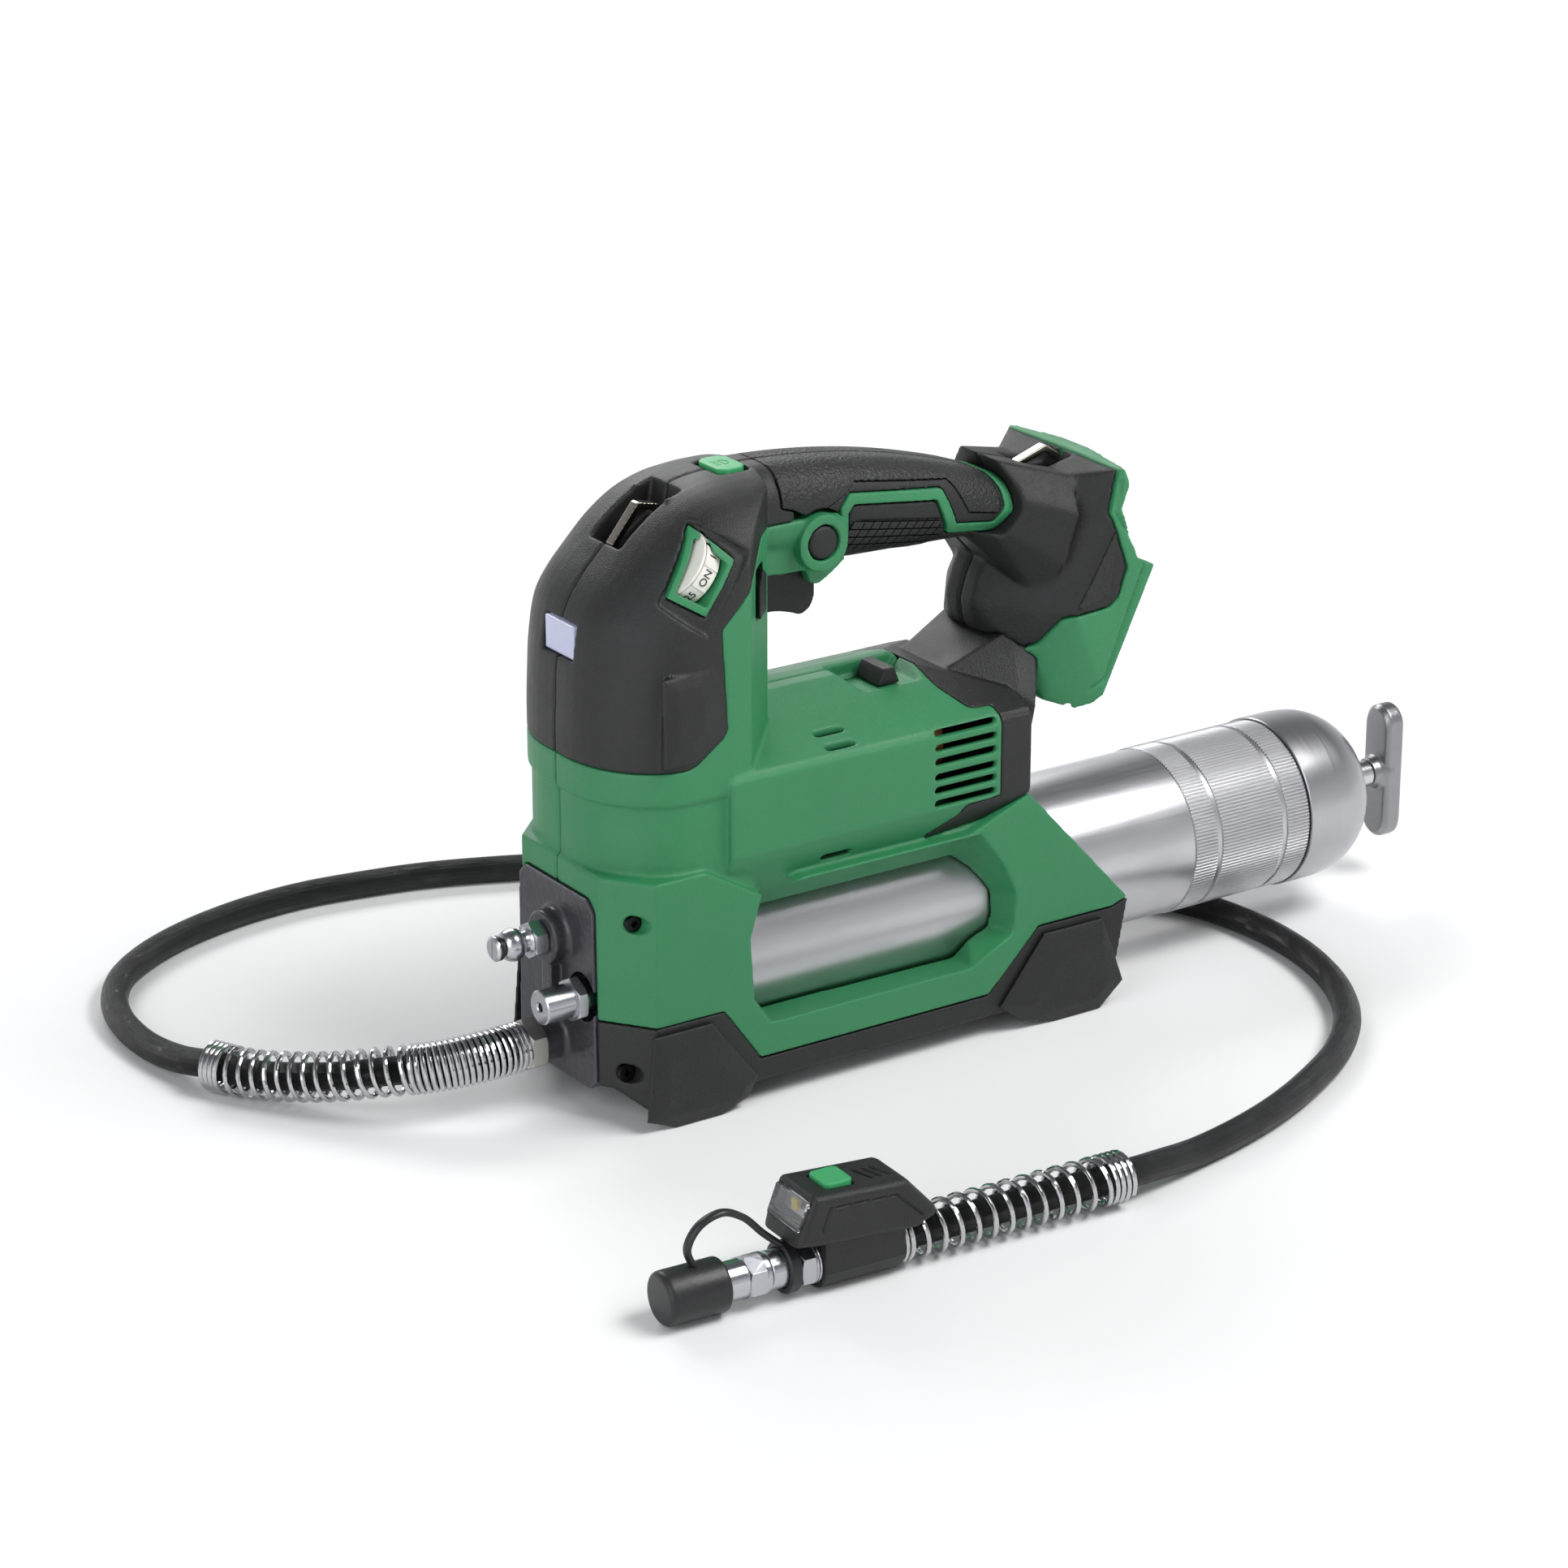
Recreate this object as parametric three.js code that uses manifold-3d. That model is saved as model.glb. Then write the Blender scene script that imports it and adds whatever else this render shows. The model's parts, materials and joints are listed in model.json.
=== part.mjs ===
// Cordless grease gun: a loop-handled tool that clamps a cartridge barrel, pumps the grease with a
// motor-driven plunger, and delivers it through a flexible hose with a work light on its coupler end.
// Units are millimetres, +Z is up, +X runs from the pump head to the pull handle. Shapes are drawn in the
// barrel's own frame, whose X axis is the barrel axis, and one group lifts them onto the ground.
import * as THREE from "three";
import { ConvexGeometry } from "three/addons/geometries/ConvexGeometry.js";
import { mergeVertices } from "three/addons/utils/BufferGeometryUtils.js";
import Module from "manifold-3d";

const wasm = await Module();
wasm.setup();

// ---------------------------------------------------------------- driving dimensions
const GAP = 0.3; // between neighbouring pieces
const AXIS_HEIGHT = 39.2; // barrel axis above the ground
const NIPPLE_TIP = -280.4; // foremost point of the tool
const T_BAR_REAR = 88.3; // rearmost point of the tool
const X_CENTRE = (NIPPLE_TIP + T_BAR_REAR) / 2;

const BARREL_R = 28.5; // takes a 14 oz cartridge
const BARREL_WALL = 1.5;
const BARREL_FRONT = -219;
const BARREL_REAR = 27;
const BORE_R = BARREL_R + 0.8;
const CAP_REAR = 71.4;
const ROD_R = 4.8;

const PLATE_X = -257; // front face of the pump head
const CASE_FRONT = -256.6;
const CASE_HALF = 39.7; // half width of the lower casing
const HOOD_HALF = 38;
const HOOD_FLAT = 6; // half width of its flat front and top
const HOOD_ROUND = 26;
const PANEL_HALF = 39.9; // half width at the motor
const MOTOR_Z = 58; // motor axis above the barrel axis
const WALL = 2.6; // moulded shell

const GREEN = 0x3f8f5c;
const BLACK = 0x232325;
const RUBBER = 0x1b1b1c;
const STEEL = 0xc9ccd0;
const ZINC = 0xb6bbc0;
const CAST = 0x55555c;
const COPPER = 0xb06a3c;
const WHITE = 0xe6e4dc;
const CLEAR = 0xdfe6f2;

// ---------------------------------------------------------------- solids
const X = new THREE.Vector3(1, 0, 0);
const Y = new THREE.Vector3(0, 1, 0);
const Z = new THREE.Vector3(0, 0, 1);

function solid(geometry) {
  const bare = geometry.clone();
  for (const name of Object.keys(bare.attributes)) {
    if (name !== "position") bare.deleteAttribute(name);
  }
  const merged = mergeVertices(bare, 1e-4);
  return new wasm.Manifold(
    new wasm.Mesh({
      numProp: 3,
      vertProperties: new Float32Array(merged.attributes.position.array),
      triVerts: new Uint32Array(merged.index.array),
    }),
  );
}

function toGeometry(body) {
  const mesh = body.asOriginal().simplify(0.004).getMesh();
  const geometry = new THREE.BufferGeometry();
  geometry.setAttribute("position", new THREE.BufferAttribute(mesh.vertProperties, 3));
  geometry.setIndex(new THREE.BufferAttribute(mesh.triVerts, 1));
  const flat = geometry.toNonIndexed();
  flat.computeVertexNormals();
  return flat;
}

const join = (first, ...rest) => rest.reduce((sum, next) => sum.add(next), first);
const cut = (first, ...rest) => rest.reduce((left, next) => left.subtract(next), first);
const meet = (first, ...rest) => rest.reduce((common, next) => common.intersect(next), first);

const shapeOf = (points) => new THREE.Shape(points.map(([a, b]) => new THREE.Vector2(a, b)));

// Points on an arc from one angle to another, in degrees, with `steps` chords.
function arc(cx, cy, radius, from, to, steps) {
  return Array.from({ length: steps + 1 }, (_, i) => {
    const angle = THREE.MathUtils.degToRad(from + ((to - from) * i) / steps);
    return [cx + radius * Math.cos(angle), cy + radius * Math.sin(angle)];
  });
}

// Points on a smooth curve through the given ones.
function smooth(points, count) {
  const curve = new THREE.SplineCurve(points.map(([a, b]) => new THREE.Vector2(a, b)));
  return curve.getPoints(count).map((p) => [p.x, p.y]);
}

function extrude(points, depth, basis, start, options = {}) {
  const geometry = new THREE.ExtrudeGeometry(shapeOf(points), {
    depth,
    bevelEnabled: false,
    curveSegments: 4,
    ...options,
  });
  geometry.translate(0, 0, start);
  geometry.applyMatrix4(basis);
  return solid(geometry);
}

const SIDE = new THREE.Matrix4().makeBasis(X, Z, Y.clone().negate());
const CROSS = new THREE.Matrix4().makeBasis(Y, Z, X);
const PLAN = new THREE.Matrix4();

// A side outline (x, z) run across the tool from y = from to y = to.
const slab = (points, from, to) => extrude(points, to - from, SIDE, -to);
// A cross-section (y, z) run along the tool.
const bar = (points, from, to) => extrude(points, to - from, CROSS, from);
// A plan outline (x, y) run upwards.
const plate = (points, from, to) => extrude(points, to - from, PLAN, from);

// A convex outline drawn in by `distance` on every side.
function insetOutline(points, distance) {
  const turn = Math.sign(THREE.ShapeUtils.area(points.map(([x, y]) => ({ x, y }))));
  let left = points;
  points.forEach(([ax, ay], i) => {
    const [bx, by] = points[(i + 1) % points.length];
    const length = Math.hypot(bx - ax, by - ay);
    const normal = [(-turn * (by - ay)) / length, (turn * (bx - ax)) / length];
    const depth = ([x, y]) => (x - ax) * normal[0] + (y - ay) * normal[1] - distance;
    left = left.flatMap((from, k) => {
      const to = left[(k + 1) % left.length];
      const [a, b] = [depth(from), depth(to)];
      const t = a / (a - b);
      const crossing = [from[0] + t * (to[0] - from[0]), from[1] + t * (to[1] - from[1])];
      if (a < 0) return b > 0 ? [crossing] : [];
      return b < 0 ? [from, crossing] : [from];
    });
  });
  return left;
}

// A convex side outline across the tool with its edges rounded back: full width at `half`, where the
// outline is drawn in by `inset`, and its true size within `flat` of the middle.
function roundedSlab(points, half, flat, inset, steps, shrink = 0) {
  const corners = [];
  for (let step = 0; step <= steps; step++) {
    const angle = (step / steps) * (Math.PI / 2);
    const y = flat + (half - flat) * Math.sin(angle);
    const outline = insetOutline(points, shrink + inset * (1 - Math.cos(angle)));
    for (const [x, z] of outline) corners.push(new THREE.Vector3(x, y, z), new THREE.Vector3(x, -y, z));
  }
  return solid(new ConvexGeometry(corners));
}

function block(x0, x1, y0, y1, z0, z1) {
  const geometry = new THREE.BoxGeometry(x1 - x0, y1 - y0, z1 - z0);
  return solid(geometry.translate((x0 + x1) / 2, (y0 + y1) / 2, (z0 + z1) / 2));
}

// A solid of revolution about the X axis: profile points are (x, radius), front to rear.
function turned(profile, sides, y = 0, z = 0) {
  const geometry = new THREE.LatheGeometry(
    profile.map(([x, r]) => new THREE.Vector2(r, x)),
    sides,
  );
  geometry.applyMatrix4(new THREE.Matrix4().makeBasis(Y, X, Z.clone().negate()));
  return solid(geometry.translate(0, y, z));
}

const rod = (x0, x1, radius, sides, y = 0, z = 0) =>
  turned([[x0, 0], [x0, radius], [x1, radius], [x1, 0]], sides, y, z);

function crossRod(y0, y1, radius, sides, x, z) {
  const geometry = new THREE.CylinderGeometry(radius, radius, y1 - y0, sides);
  return solid(geometry.translate(x, (y0 + y1) / 2, z));
}

// A strip of the given width along a path in the side view, run right across the tool.
function band(path, width) {
  const pieces = path.slice(1).map(([bx, bz], i) => {
    const [ax, az] = path[i];
    const reach = width / 2 / Math.hypot(bx - ax, bz - az);
    const [sx, sz] = [(bz - az) * reach, (ax - bx) * reach];
    return slab([[ax - sx, az - sz], [bx - sx, bz - sz], [bx + sx, bz + sz], [ax + sx, az + sz]], -60, 60);
  });
  const corners = path.slice(1, -1).map(([x, z]) => crossRod(-60, 60, width / 2, 12, x, z));
  return join(...pieces, ...corners);
}

function postRod(z0, z1, radius, sides, x, y) {
  const geometry = new THREE.CylinderGeometry(radius, radius, z1 - z0, sides).rotateX(Math.PI / 2);
  return solid(geometry.translate(x, y, (z0 + z1) / 2));
}

const hexRod = (x0, x1, acrossCorners, y, z) => rod(x0, x1, acrossCorners / 2, 6, y, z);

// A tapered cutter between two outlines of the same number of points at two depths, mirrored to both sides.
function sideWindow(inner, outer, yInner, yOuter) {
  const count = inner.length;
  const position = [];
  const index = [];
  const ring = (points, y) => points.forEach(([x, z]) => position.push(x, -y, z));
  ring(outer, yOuter);
  ring(inner, yInner);
  const triangles = THREE.ShapeUtils.triangulateShape(
    outer.map(([x, z]) => new THREE.Vector2(x, z)),
    [],
  );
  for (const [a, b, c] of triangles) {
    index.push(a, b, c);
    index.push(count + a, count + c, count + b);
  }
  for (let i = 0; i < count; i++) {
    const next = (i + 1) % count;
    index.push(i, count + i, next);
    index.push(next, count + i, count + next);
  }
  const geometry = new THREE.BufferGeometry();
  geometry.setAttribute("position", new THREE.Float32BufferAttribute(position, 3));
  geometry.setIndex(index);
  const left = solid(geometry);
  return join(left, left.mirror([0, 1, 0]));
}

// A coil spring about a line parallel to X.
function coil(x0, x1, radius, wire, turns, stepsPerTurn, y, z) {
  class Helix extends THREE.Curve {
    getPoint(t, target = new THREE.Vector3()) {
      const angle = 2 * Math.PI * turns * t;
      const x = THREE.MathUtils.lerp(x0, x1, t);
      return target.set(x, y + radius * Math.cos(angle), z + radius * Math.sin(angle));
    }
  }
  return sweep(new Helix(), wire, 5, turns * stepsPerTurn);
}

function sweep(curve, radius, sides, steps) {
  const section = shapeOf(arc(0, 0, radius, 0, 360 - 360 / sides, sides - 1));
  return solid(
    new THREE.ExtrudeGeometry(section, { steps, extrudePath: curve, bevelEnabled: false }),
  );
}

const LEFT = block(-300, 100, -60, -0.15, -60, 180);
const RIGHT = block(-300, 100, 0.15, 60, -60, 180);

// ---------------------------------------------------------------- assembly bookkeeping
const assembly = new THREE.Group();
const barrelFrame = new THREE.Group();
barrelFrame.position.set(-X_CENTRE, 0, AXIS_HEIGHT);
assembly.add(barrelFrame);

function add(name, body, color, roughness = 0.6, metalness = 0, parent = barrelFrame) {
  const material = new THREE.MeshStandardMaterial({ color, roughness, metalness });
  const mesh = new THREE.Mesh(toGeometry(body), material);
  mesh.name = name;
  parent.add(mesh);
  return mesh;
}

// ---------------------------------------------------------------- outer form
// Outlines of the moulded body, as (x, z) in the barrel's frame.
const HOOD_OUTLINE = [
  [-256.5, 8], [-256.4, 88], [-255.3, 108], [-252.2, 123.6], [-247, 132], [-240, 139.6], [-231, 148.2],
  [-220.5, 155], [-210, 158.4], [-199, 159.6], [-187.5, 159.6], [-187.5, 8],
];
// The column narrows to its rear face by a chamfer on each side.
const COLUMN_PLAN = [[-270, -45], [-207.5, -45], [-207.5, -36.6], [-187.5, -17], [-187.5, 17], [-207.5, 36.6],
  [-207.5, 45], [-270, 45]];
const HANDLE_OUTLINE = [
  ...smooth([[-222, 156], [-199, 159.6], [-173, 159.2], [-142, 155.2], [-112, 147.8], [-84, 138]], 8),
  [-84, 113],
  [-134, 120.6],
  [-153, 123.6],
  [-222, 126],
];
// The battery mount as points (x, z, half width) on its convex outside.
const MOUNT_POINTS = [
  [-55.8, 144, 5], [-59.2, 142.9, 31], [-59.5, 139, 32.5], [-50, 110.4, 36], [-69.7, 69.3, 36],
  [-73, 66.6, 34.5], [-78.4, 65.2, 32], [-87.5, 68.5, 27], [-93, 79, 20], [-94, 86, 20],
  [-89, 98.5, 25], [-71, 138.6, 22], [-102.5, 99, 7], [-101, 91, 7], [-100, 107.5, 7], [-82.8, 138.2, 9],
  [-79.5, 97, 34], [-65.8, 127, 33.5],
];
// The battery's sliding plane: a line in the side view from its lower end to its upper end.
const RAIL_LOW = [-69.7, 69.3];
const RAIL_HIGH = [-50, 110.4];

// Cross-section over the motor, as (y, z).
const PANEL_SECTION = [
  [-PANEL_HALF, 45.5], [-38.6, 42], [-32, 29], [-26, 22], [26, 22], [32, 29], [38.6, 42],
  [PANEL_HALF, 45.5], [PANEL_HALF, 70], [38.4, 72.5], [20, 79.7], [5.5, 84.6], [-5.5, 84.6],
  [-20, 79.7], [-38.4, 72.5], [-PANEL_HALF, 70],
];

const CASE_PLAN = [
  [CASE_FRONT, -23.6], [-245, -CASE_HALF], [-40, -CASE_HALF], [-40, CASE_HALF], [-238, CASE_HALF],
  [CASE_FRONT, 21],
];
const CASE_SIDE = [
  [-262, -4.6], [-220, -4.6], [-206, -24], [-117, -24], [-97, -4.3], [-67, -4.3], [-60.5, -2],
  [-101.5, 43], [-125, 34], [-190, 34], [-203, 30], [-226, 43.5], [-262, 43.5],
];
const TRAY_SIDE = [
  [-262, -4.9], [-219.8, -4.9], [-205.8, -24.3], [-117.2, -24.3], [-97.2, -4.6], [-66.9, -4.6],
  [-60.3, -2.4], [-66, -31.8], [-205, -31.8], [-246, -33.5], [-253, -27], [-262, -27],
];
const HAND_ZONE = block(-300, -100, -60, 60, 66.5, 200);

function convexPoints(points, scale, centreX, centreZ) {
  const corners = points.flatMap(([x, z, half]) => {
    const px = centreX + (x - centreX) * scale;
    const pz = centreZ + (z - centreZ) * scale;
    return [new THREE.Vector3(px, half * scale, pz), new THREE.Vector3(px, -half * scale, pz)];
  });
  return solid(new ConvexGeometry(corners));
}

const columnPrism = plate(COLUMN_PLAN, 0, 200);
const hoodShape = meet(roundedSlab(HOOD_OUTLINE, HOOD_HALF, HOOD_FLAT, HOOD_ROUND, 3), columnPrism);
const handleShape = roundedSlab(HANDLE_OUTLINE, 17.5, 5, 13, 3);
const triggerHousing = slab(
  [[-196, 146], [-196, 126], [-172.4, 125], [-171, 120.8], [-168, 119.6], [-162.5, 122.6],
    [-157.6, 126.2], [-157.6, 138]],
  -15, 15,
);
const buttonBoss = crossRod(-19.6, 19.6, 9.3, 20, -168.6, 134.6);
const frontBlock = meet(
  roundedSlab(HOOD_OUTLINE, HOOD_HALF - 0.8, HOOD_FLAT, HOOD_ROUND, 3, 1.2),
  block(-300, -205, -60, 60, 30, 66.9),
);
const panelBody = meet(
  bar(PANEL_SECTION, -217, -101.5),
  slab([[-217, 20], [-217, 70], [-203, 85], [-130, 85], [-124, 83], [-101.5, 76], [-101.5, 20]], -60, 60),
);
const column = meet(hoodShape, HAND_ZONE);
const caseBody = meet(plate(CASE_PLAN, -40, 60), slab(CASE_SIDE, -60, 60));

const barrelBore = rod(BARREL_FRONT - 3.6, 0, BORE_R, 40);
const windows = sideWindow(
  [[-196, 34], [-202, 14], [-200.5, -5], [-196, -14], [-121, -15], [-112.7, -4.7], [-112, 6],
    [-117, 15], [-131, 31]],
  [[-203, 40], [-210, 17.5], [-208.5, -4], [-202, -12.8], [-124, -12.8], [-107, -4.5], [-106, 9],
    [-111, 20], [-126, 40]],
  20, CASE_HALF + 0.1,
);
const casing = cut(caseBody, meet(windows, block(-230, -90, -60, 60, -20, 33)));

// ---------------------------------------------------------------- colour and piece boundaries
const HOOD_REGION = slab(
  [[-290, 77.5], [-233, 77.5], [-229, 78.2], [-218.5, 85.5], [-217, 88], [-219, 120.5], [-205, 134],
    [-196.5, 143], [-178.5, 143], [-178.5, 146], [-183.4, 147.5], [-183, 156], [-182, 175],
    [-290, 175]],
  -70, 70,
);
// Centre line of the green trim that runs along the grip and over its rear end.
const TRIM_PATH = [
  [-161, 140.8], [-156.5, 146.2], [-122.3, 141.8], [-116.8, 129.2], [-99.5, 126.6], [-94.8, 132.5],
  [-94.6, 138.5], [-103, 160],
];
const TRIM_WIDTH = 3.4;
const GRIP_REGION = slab(
  [[-181.7, 175], [-182.7, 156], [-183.1, 147.8], [-178.5, 146.4],
    ...arc(-168.6, 134.6, 10.6, 120, 45, 5), ...TRIM_PATH, [-103, 175]],
  -70, 70,
);
const LOWER_GRIP_REGION = slab(
  [[-157.3, 145.2], [-157.3, 100], [-60, 100], [-60, 175], [-103, 175],
    ...TRIM_PATH.slice(1).reverse()],
  -70, 70,
);
// The rear cover's boundary with the green shells.
const COVER_REGION = slab(
  [[-126, 100], [-126, 79.2], [-121.5, 74.3], [-113.4, 74], [-113.4, 45], [-126.5, 44.4], [-129, 41],
    [-143, 34], [-101, 38.5], [-101, 100]],
  -70, 70,
);
const railDirection = [RAIL_HIGH[0] - RAIL_LOW[0], RAIL_HIGH[1] - RAIL_LOW[1]];
const railLength = Math.hypot(...railDirection);
const railUnit = railDirection.map((c) => c / railLength);
const railNormal = [railUnit[1], -railUnit[0]];
// A point of the battery interface: `along` it from its lower end and `out` of it to the rear.
const railPoint = (along, out) => [
  RAIL_LOW[0] + along * railUnit[0] + out * railNormal[0],
  RAIL_LOW[1] + along * railUnit[1] + out * railNormal[1],
];
const railRegion = (from, to, inner, outer) =>
  [railPoint(from, inner), railPoint(from, outer), railPoint(to, outer), railPoint(to, inner)];
// The space behind the mount: the rails' plane, and above them the step that clears the battery's nose.
const BEHIND_MOUNT = slab(
  [railPoint(-60, 0), RAIL_HIGH, [-56.3, 113.5], [-61.8, 130.5], [-57.6, 139], [-55.2, 146], [0, 146],
    [0, 0]],
  -70, 70,
);
const SKIRT_REGION = slab(
  [[-106, 83.5], [-98, 84.6], [-93, 85.6], [-88.8, 87.4], [-83.2, 96.1], [-80.5, 97.3], [-67, 98.7],
    [-64, 101.5], [-60.2, 111], [-66, 129.5], [-61.6, 141], [-57.9, 150], [0, 150], [0, 40],
    [-110, 40]],
  -70, 70,
);

// ---------------------------------------------------------------- hollows inside the shells
// The front strap eye stands in a pocket of the hood, whose walls are WALL thick.
const ringPocket = slab([[-238, 150], [-237, 141.6], [-231, 136], [-216, 146], [-213.5, 162]], -8.5, 8.5);
const ringPocketWall = slab([[-240, 160], [-240, 137], [-231, 132], [-212.5, 144], [-210, 162]], -11, 11);
const hoodHollow = cut(
  meet(
    roundedSlab(HOOD_OUTLINE, HOOD_HALF - WALL, HOOD_FLAT - 1, HOOD_ROUND - 1, 2, WALL),
    plate(COLUMN_PLAN, 84, 200).translate([-WALL, 0, 0]),
    plate(COLUMN_PLAN.map(([x, y]) => [x, y * 0.92]), 84, 200),
  ),
  ringPocketWall,
);
const handleHollow = roundedSlab(HANDLE_OUTLINE, 17.5 - WALL, 5, 11, 2, WALL + 0.4);
const MOTOR_BAY_R = 20.8;
const FAN_BAY_R = 22.2;
const GEAR_BAY_R = 23.6;
const motorBay = join(
  rod(-184, -116, MOTOR_BAY_R, 24, 0, MOTOR_Z),
  rod(-116.5, -106, FAN_BAY_R, 24, 0, MOTOR_Z),
);
const gearBay = rod(-206, -180, GEAR_BAY_R, 24, 0, MOTOR_Z);
// The speed selector slides in a recess of the roof, a little to the left of the middle.
const SELECTOR_Y = -7;
const panelInside = meet(
  bar(insetOutline(PANEL_SECTION, 2.8), -181, -104.3),
  block(-300, 0, -60, 60, 32.5, 79),
);
const motorBulkheads = join(block(-149, -145, -60, 60, 0, 100), block(-122, -119, -60, 60, 0, 100));
const selectorPlinth = block(-162, -120, SELECTOR_Y - 12, SELECTOR_Y + 12, 74, 87);
const panelHollow = join(cut(panelInside, motorBulkheads, selectorPlinth), motorBay);
const yokeBay = block(-246, -205, -26, 26, 38, 84.5);
const plungerHole = postRod(30, 45, 5.2, 16, -230, 0);
const headOutline = (grow) =>
  [[-18.5 - grow, -29.8 - grow], [-22.6 - grow, -26 - grow], [-21.9 - grow, 30.8 + grow],
    [-18.3 - grow, 34.4 + grow], [18.3 + grow, 34.4 + grow], [21.9 + grow, 30.8 + grow],
    [22.6 + grow, -26 - grow], [18.5 + grow, -29.8 - grow]];
const headPocket = join(
  bar(headOutline(GAP), -300, -251.2),
  block(-251.7, -218, -20.4, 20.4, -29.2, 34.8),
);
const ventSlots = [46.1, 50.6, 55, 60.2, 65, 69.8].map((z) => block(-139.5, -115.2, -60, 60, z, z + 2.3));
const smallVents = [
  ...[-1, 1].flatMap((side) => [28.9, 35.4].map((y) =>
    block(-179, -168, side * y - 1.3, side * y + 1.3, 68, 86))),
  block(-181, -169, -60, 60, 36.2, 38),
];
const selectorRecess = slab(
  [[-158, 88], [-150, 79.8], [-130, 79.8], [-121, 88]],
  SELECTOR_Y - 9, SELECTOR_Y + 9,
);
const selectorSlot = block(-148.5, -133.5, SELECTOR_Y - 3.4, SELECTOR_Y + 3.4, 70, 84);
const triggerSlot = slab(
  [[-187.1, 104], [-187.1, 137], [-160, 137], [-163.5, 118], [-164.5, 104]], -10.6, 10.6,
);
const lockBore = crossRod(-30, 30, 5.9, 20, -168.6, 134.6);
// The trigger's lock bar runs right across the column and ends flush with its chamfers.
const LOCK_BAR = [[-202, 119.4], [-195, 119.4], [-195, 131.5], [-198, 134.5], [-202, 130]];
const lockBarSlot = block(-202.3, -194.7, -45, 45, 119.1, 134.8);
const screwHoles = [-1, 1].map((side) =>
  crossRod(side > 0 ? 25 : -50, side > 0 ? 50 : -30.5, 2.9, 12, -248.6, 29.2));
const batteryBay = slab(railRegion(-20, 46, -9, 30), -31, 31);

// ---------------------------------------------------------------- green housing halves
const handleGreen = meet(
  handleShape,
  slab([[-222, 126], [-222, 142.8], [-157.6, 142.8], [-157.6, 118]], -60, 60),
);
const greenShape = cut(
  join(
    cut(join(column, triggerHousing), HOOD_REGION),
    cut(handleGreen, HOOD_REGION, GRIP_REGION),
    buttonBoss,
    frontBlock,
    cut(panelBody, COVER_REGION),
    casing,
  ),
  hoodHollow, handleHollow,
);
const greenBody = cut(
  greenShape,
  barrelBore, panelHollow, gearBay, yokeBay, plungerHole, headPocket,
  ...ventSlots, ...smallVents, selectorRecess, selectorSlot, triggerSlot, lockBore, lockBarSlot,
  ...screwHoles,
);
add("housing_left", meet(greenBody, LEFT), GREEN, 0.55);
add("housing_right", meet(greenBody, RIGHT), GREEN, 0.55);

// ---------------------------------------------------------------- black hood, grips and battery mount
// A region moved so that a piece inside it keeps its distance from the piece outside.
const eased = (region, dx, dz) => region.translate([dx, 0, dz]);

// The dial's window in the hood's left side, a tilted four-sided opening.
const BEZEL_OUTLINE = [[-220.4, 150.2], [-212.2, 141], [-223.4, 125.5], [-233.4, 131.7]];
const BEZEL_CENTRE = [-222.4, 137.1];
const scaledBezel = (factor) => BEZEL_OUTLINE.map(([x, z]) => [
  BEZEL_CENTRE[0] + (x - BEZEL_CENTRE[0]) * factor,
  BEZEL_CENTRE[1] + (z - BEZEL_CENTRE[1]) * factor,
]);
const dialWindow = slab(scaledBezel(1.04), -60, -20);
// The thumbwheel turns about the window's short direction; it stands edge-on behind the window.
const DIAL_R = 12;
const DIAL_DEPTH = 21.6; // its centre behind the barrel's middle plane, towards the left side
const bezelAxis = new THREE.Vector3(0.79, 0, -0.61);
const dialTurn = new THREE.Matrix4().makeRotationFromQuaternion(
  new THREE.Quaternion().setFromUnitVectors(Y, bezelAxis.clone().normalize()),
);
const dialWheel = (radius, width) =>
  solid(new THREE.CylinderGeometry(radius, radius, width, 24)).transform(dialTurn.elements)
    .translate([BEZEL_CENTRE[0], -DIAL_DEPTH, BEZEL_CENTRE[1]]);
const dialSpace = dialWheel(DIAL_R + GAP, 7.8);

const hoodBody = cut(
  meet(join(hoodShape, handleShape), eased(HOOD_REGION, -GAP, GAP)),
  handleHollow, hoodHollow, triggerSlot, lockBore, ringPocket,
);
const frontLampHole = block(-270, -248.5, -8.8, 8.8, 108.8, 120.4);
const lampButtonHole = block(-199.8, -188.7, -7.8, 7.8, 150, 170);
const frontEye = [[-228.5, 133.4], [-234.6, 141], [-225.6, 152.2], [-218.4, 150.6], [-220.6, 141.5]];
const rearEye = [[-80, 134], [-81.4, 140.2], [-69.3, 144.3], [-64.4, 140.8], [-65.4, 134]];
const EYE_WIRE = 2.2;
const strapEye = (path, wire, half) => meet(band(path, wire), block(-300, 0, -half, half, 0, 200));
const eyeSocket = (path) => strapEye(path, EYE_WIRE + 2 * GAP, 1.9 + GAP);
const hood = cut(hoodBody, frontLampHole, lampButtonHole, eyeSocket(frontEye));
add("hood_left", meet(cut(hood, dialWindow, dialSpace), LEFT), BLACK, 0.7);
add("hood_right", meet(hood, RIGHT), BLACK, 0.7);

const gripTrimCut = band(TRIM_PATH, TRIM_WIDTH + 2 * GAP);
const upperGrip = cut(meet(handleShape, GRIP_REGION), handleHollow, gripTrimCut, lockBore);
add("grip_left", meet(upperGrip, LEFT), BLACK, 0.75);
add("grip_right", meet(upperGrip, RIGHT), BLACK, 0.75);
const trim = cut(
  meet(handleShape, band(TRIM_PATH, TRIM_WIDTH)),
  handleHollow, eased(greenShape, 0, GAP), eased(greenShape, GAP, 0), lockBore,
);
add("grip_trim_left", meet(trim, LEFT), GREEN, 0.55);
add("grip_trim_right", meet(trim, RIGHT), GREEN, 0.55);

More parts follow.
